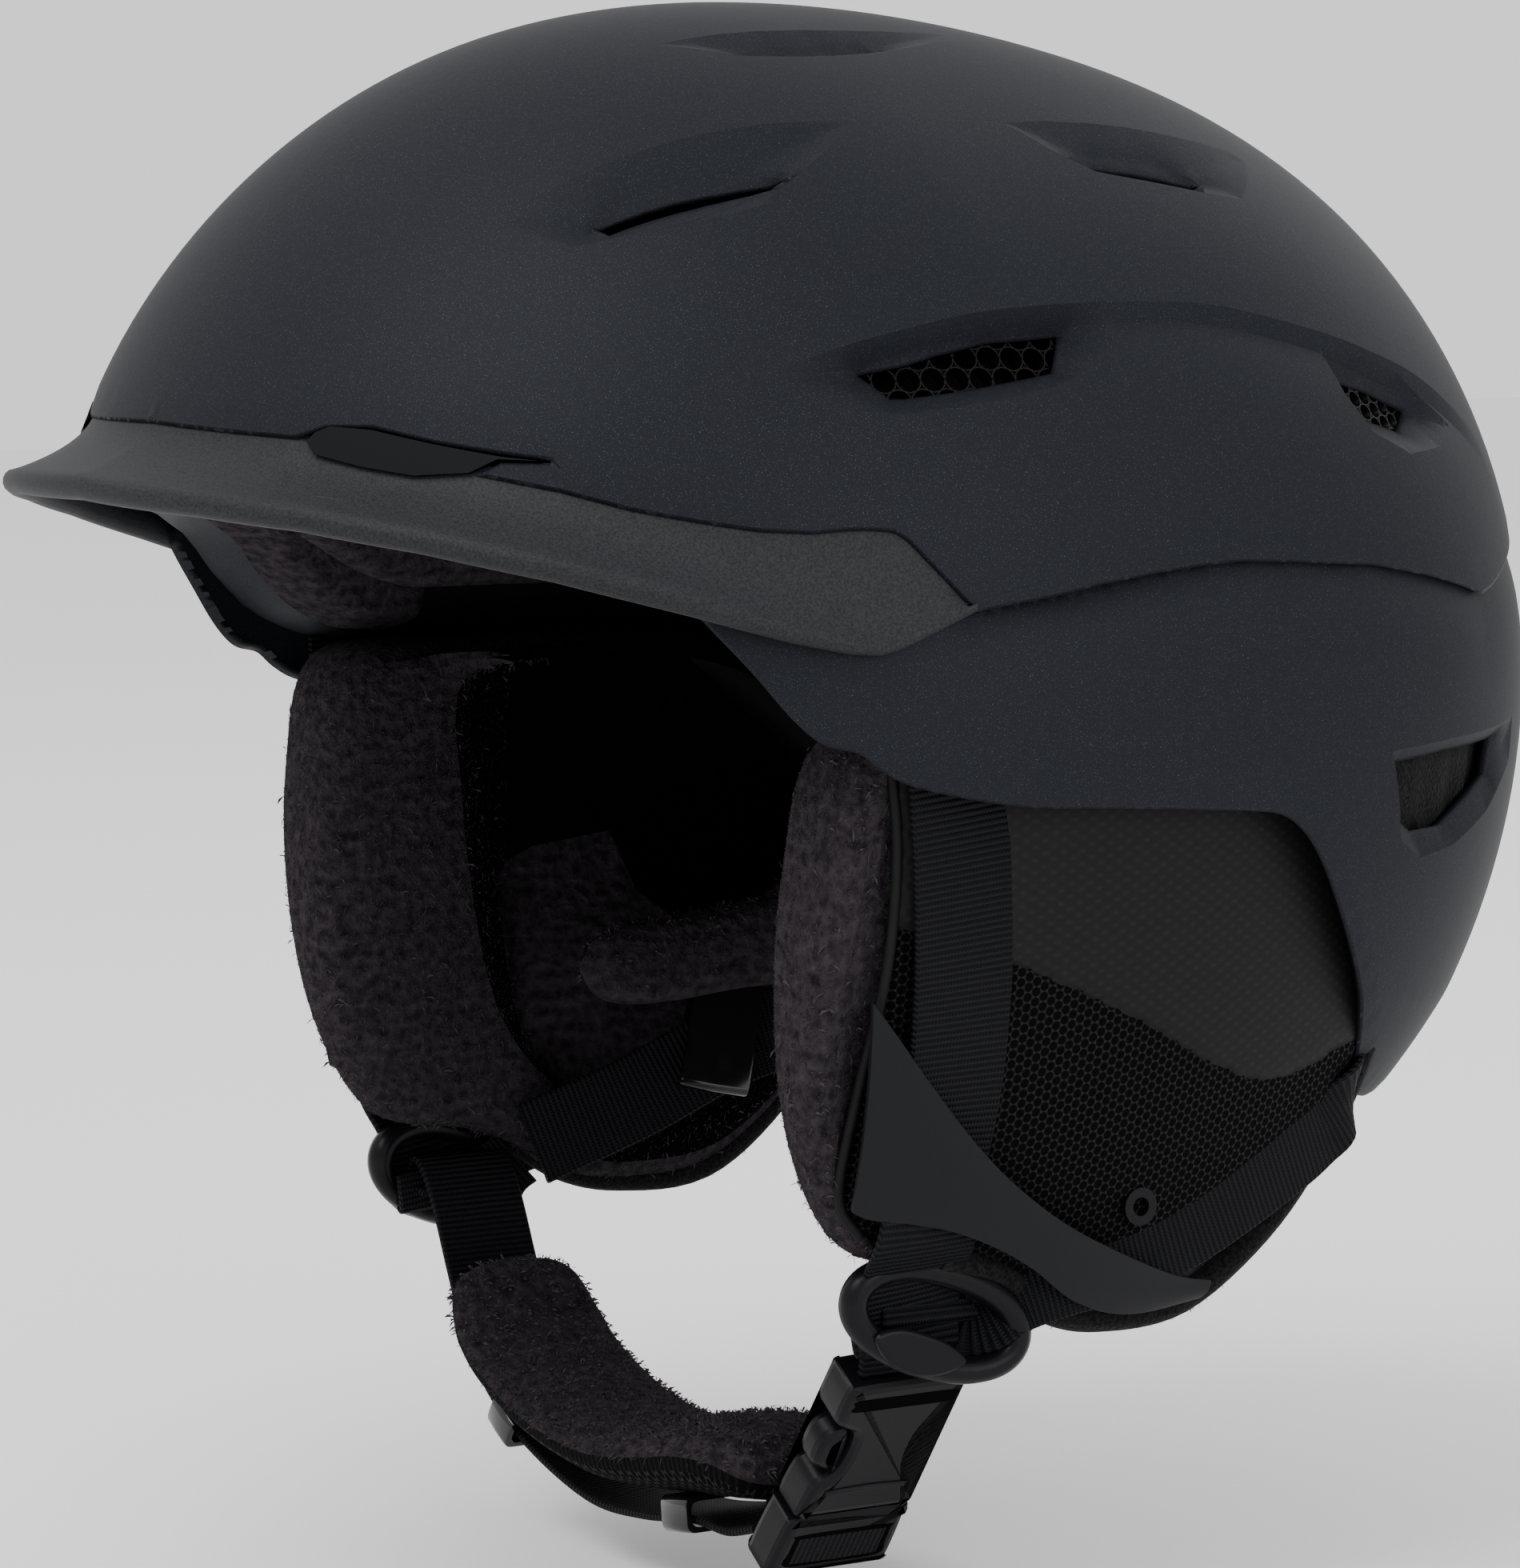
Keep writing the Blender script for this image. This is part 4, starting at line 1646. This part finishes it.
@dataclass
class Studio:
    """Floor, lights and camera."""

    azimuth: float = 58.0
    elevation: float = 6.5
    target: tuple[float, float, float] = (0.0, -8.8, -36.0)
    distance: float = 1100.0
    view_width: float = 1900.0 / 7.2  # millimetres across the view at the target
    sky: float = 1.15
    floor_size: float = 6.0

    def backward(self) -> Vector:
        """The direction from the target to the camera."""
        a, e = math.radians(self.azimuth), math.radians(self.elevation)
        return Vector((math.sin(a) * math.cos(e), -math.cos(a) * math.cos(e), math.sin(e)))

    def build(self) -> None:
        """Builds them all."""
        camera = bpy.data.cameras.new("camera")
        camera.sensor_fit = "HORIZONTAL"
        camera.lens = camera.sensor_width * self.distance / self.view_width
        eye = bpy.data.objects.new("camera", camera)
        eye.location = (Vector(self.target) + self.backward() * self.distance) * MM
        eye.rotation_euler = self.backward().to_track_quat("Z", "Y").to_euler()
        bpy.context.scene.collection.objects.link(eye)
        bpy.context.scene.camera = eye
        world = bpy.data.worlds.new("world")
        bpy.context.scene.world = world
        world.use_nodes = True
        back = world.node_tree.nodes["Background"]
        back.inputs["Color"].default_value = (1.0, 1.0, 1.0, 1.0)
        back.inputs["Strength"].default_value = self.sky
        floor_z = min(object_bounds()[0][2], -0.17) - 0.004
        bpy.ops.mesh.primitive_plane_add(size=self.floor_size, location=(0, 0, floor_z))
        floor = bpy.context.object
        floor.name = "floor"
        floor.data.materials.append(Finish("floor", (0.9, 0.9, 0.9), 0.9).material())
        floor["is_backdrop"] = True
        for name, place, aim, power, width in (
                ("key", (0.2, -0.9, 1.3), (0, 0, 0), 23.0, 1.1),
                ("side", (1.5, 0.2, 0.5), (0, 0, 0), 9.0, 1.0),
                ("rear", (-0.3, 1.3, 0.9), (0, 0, 0), 4.0, 1.0)):
            lamp = bpy.data.lights.new(name, "AREA")
            lamp.energy = power
            lamp.size = width
            obj = bpy.data.objects.new(name, lamp)
            obj.location = place
            obj.rotation_euler = (Vector(place) - Vector(aim)).to_track_quat("Z", "Y").to_euler()
            bpy.context.scene.collection.objects.link(obj)


def main() -> None:
    """Builds every piece in order and reports it."""
    logging.basicConfig(level=logging.INFO, format="%(name)s: %(message)s")
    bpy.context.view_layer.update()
    dress_cad()
    shells = Shells()
    chin = Chin()
    pads: dict[str, bpy.types.Object] = {}
    steps: tuple[tuple[str, Callable[[], Any]], ...] = (
        ("shells", shells.build), ("brim", Brim().build), ("inside", Inside().build),
        ("crown", Crown().build),
        ("grilles", lambda: Grilles().build(shells)), ("left pad", EarPad(Side.LEFT).build),
        ("right pad", EarPad(Side.RIGHT).build), ("neck", Neck().build), ("chin", chin.build),
        ("buckle", Buckle().build), ("dividers", Dividers().build), ("keepers", Keepers().build))
    for name, build in steps:
        pads[name] = build()
        LOG.info("built %s", name)
    fibres = Fibres()
    for side in ("left", "right"):
        fibres.grow(f"{side}_pad_fibres", pads[f"{side} pad"], 70000,
                    lambda p, n: ((p[:, 1] < -8) | (p[:, 2] < -100)) & (p[:,
                                                                          2] < -20) & (np.abs(p[:, 0]) < 99))
    fibres.grow("chin_fibres", pads["chin"], 16000, lambda p, n: n[:, 2] > -0.1, "chin_strap")
    fibres.grow("neck_fibres", pads["neck"], 9000, lambda p, n: n[:, 2] > -0.4)
    chin.finish()
    Studio().build()


if __name__ == "__main__":
    main()
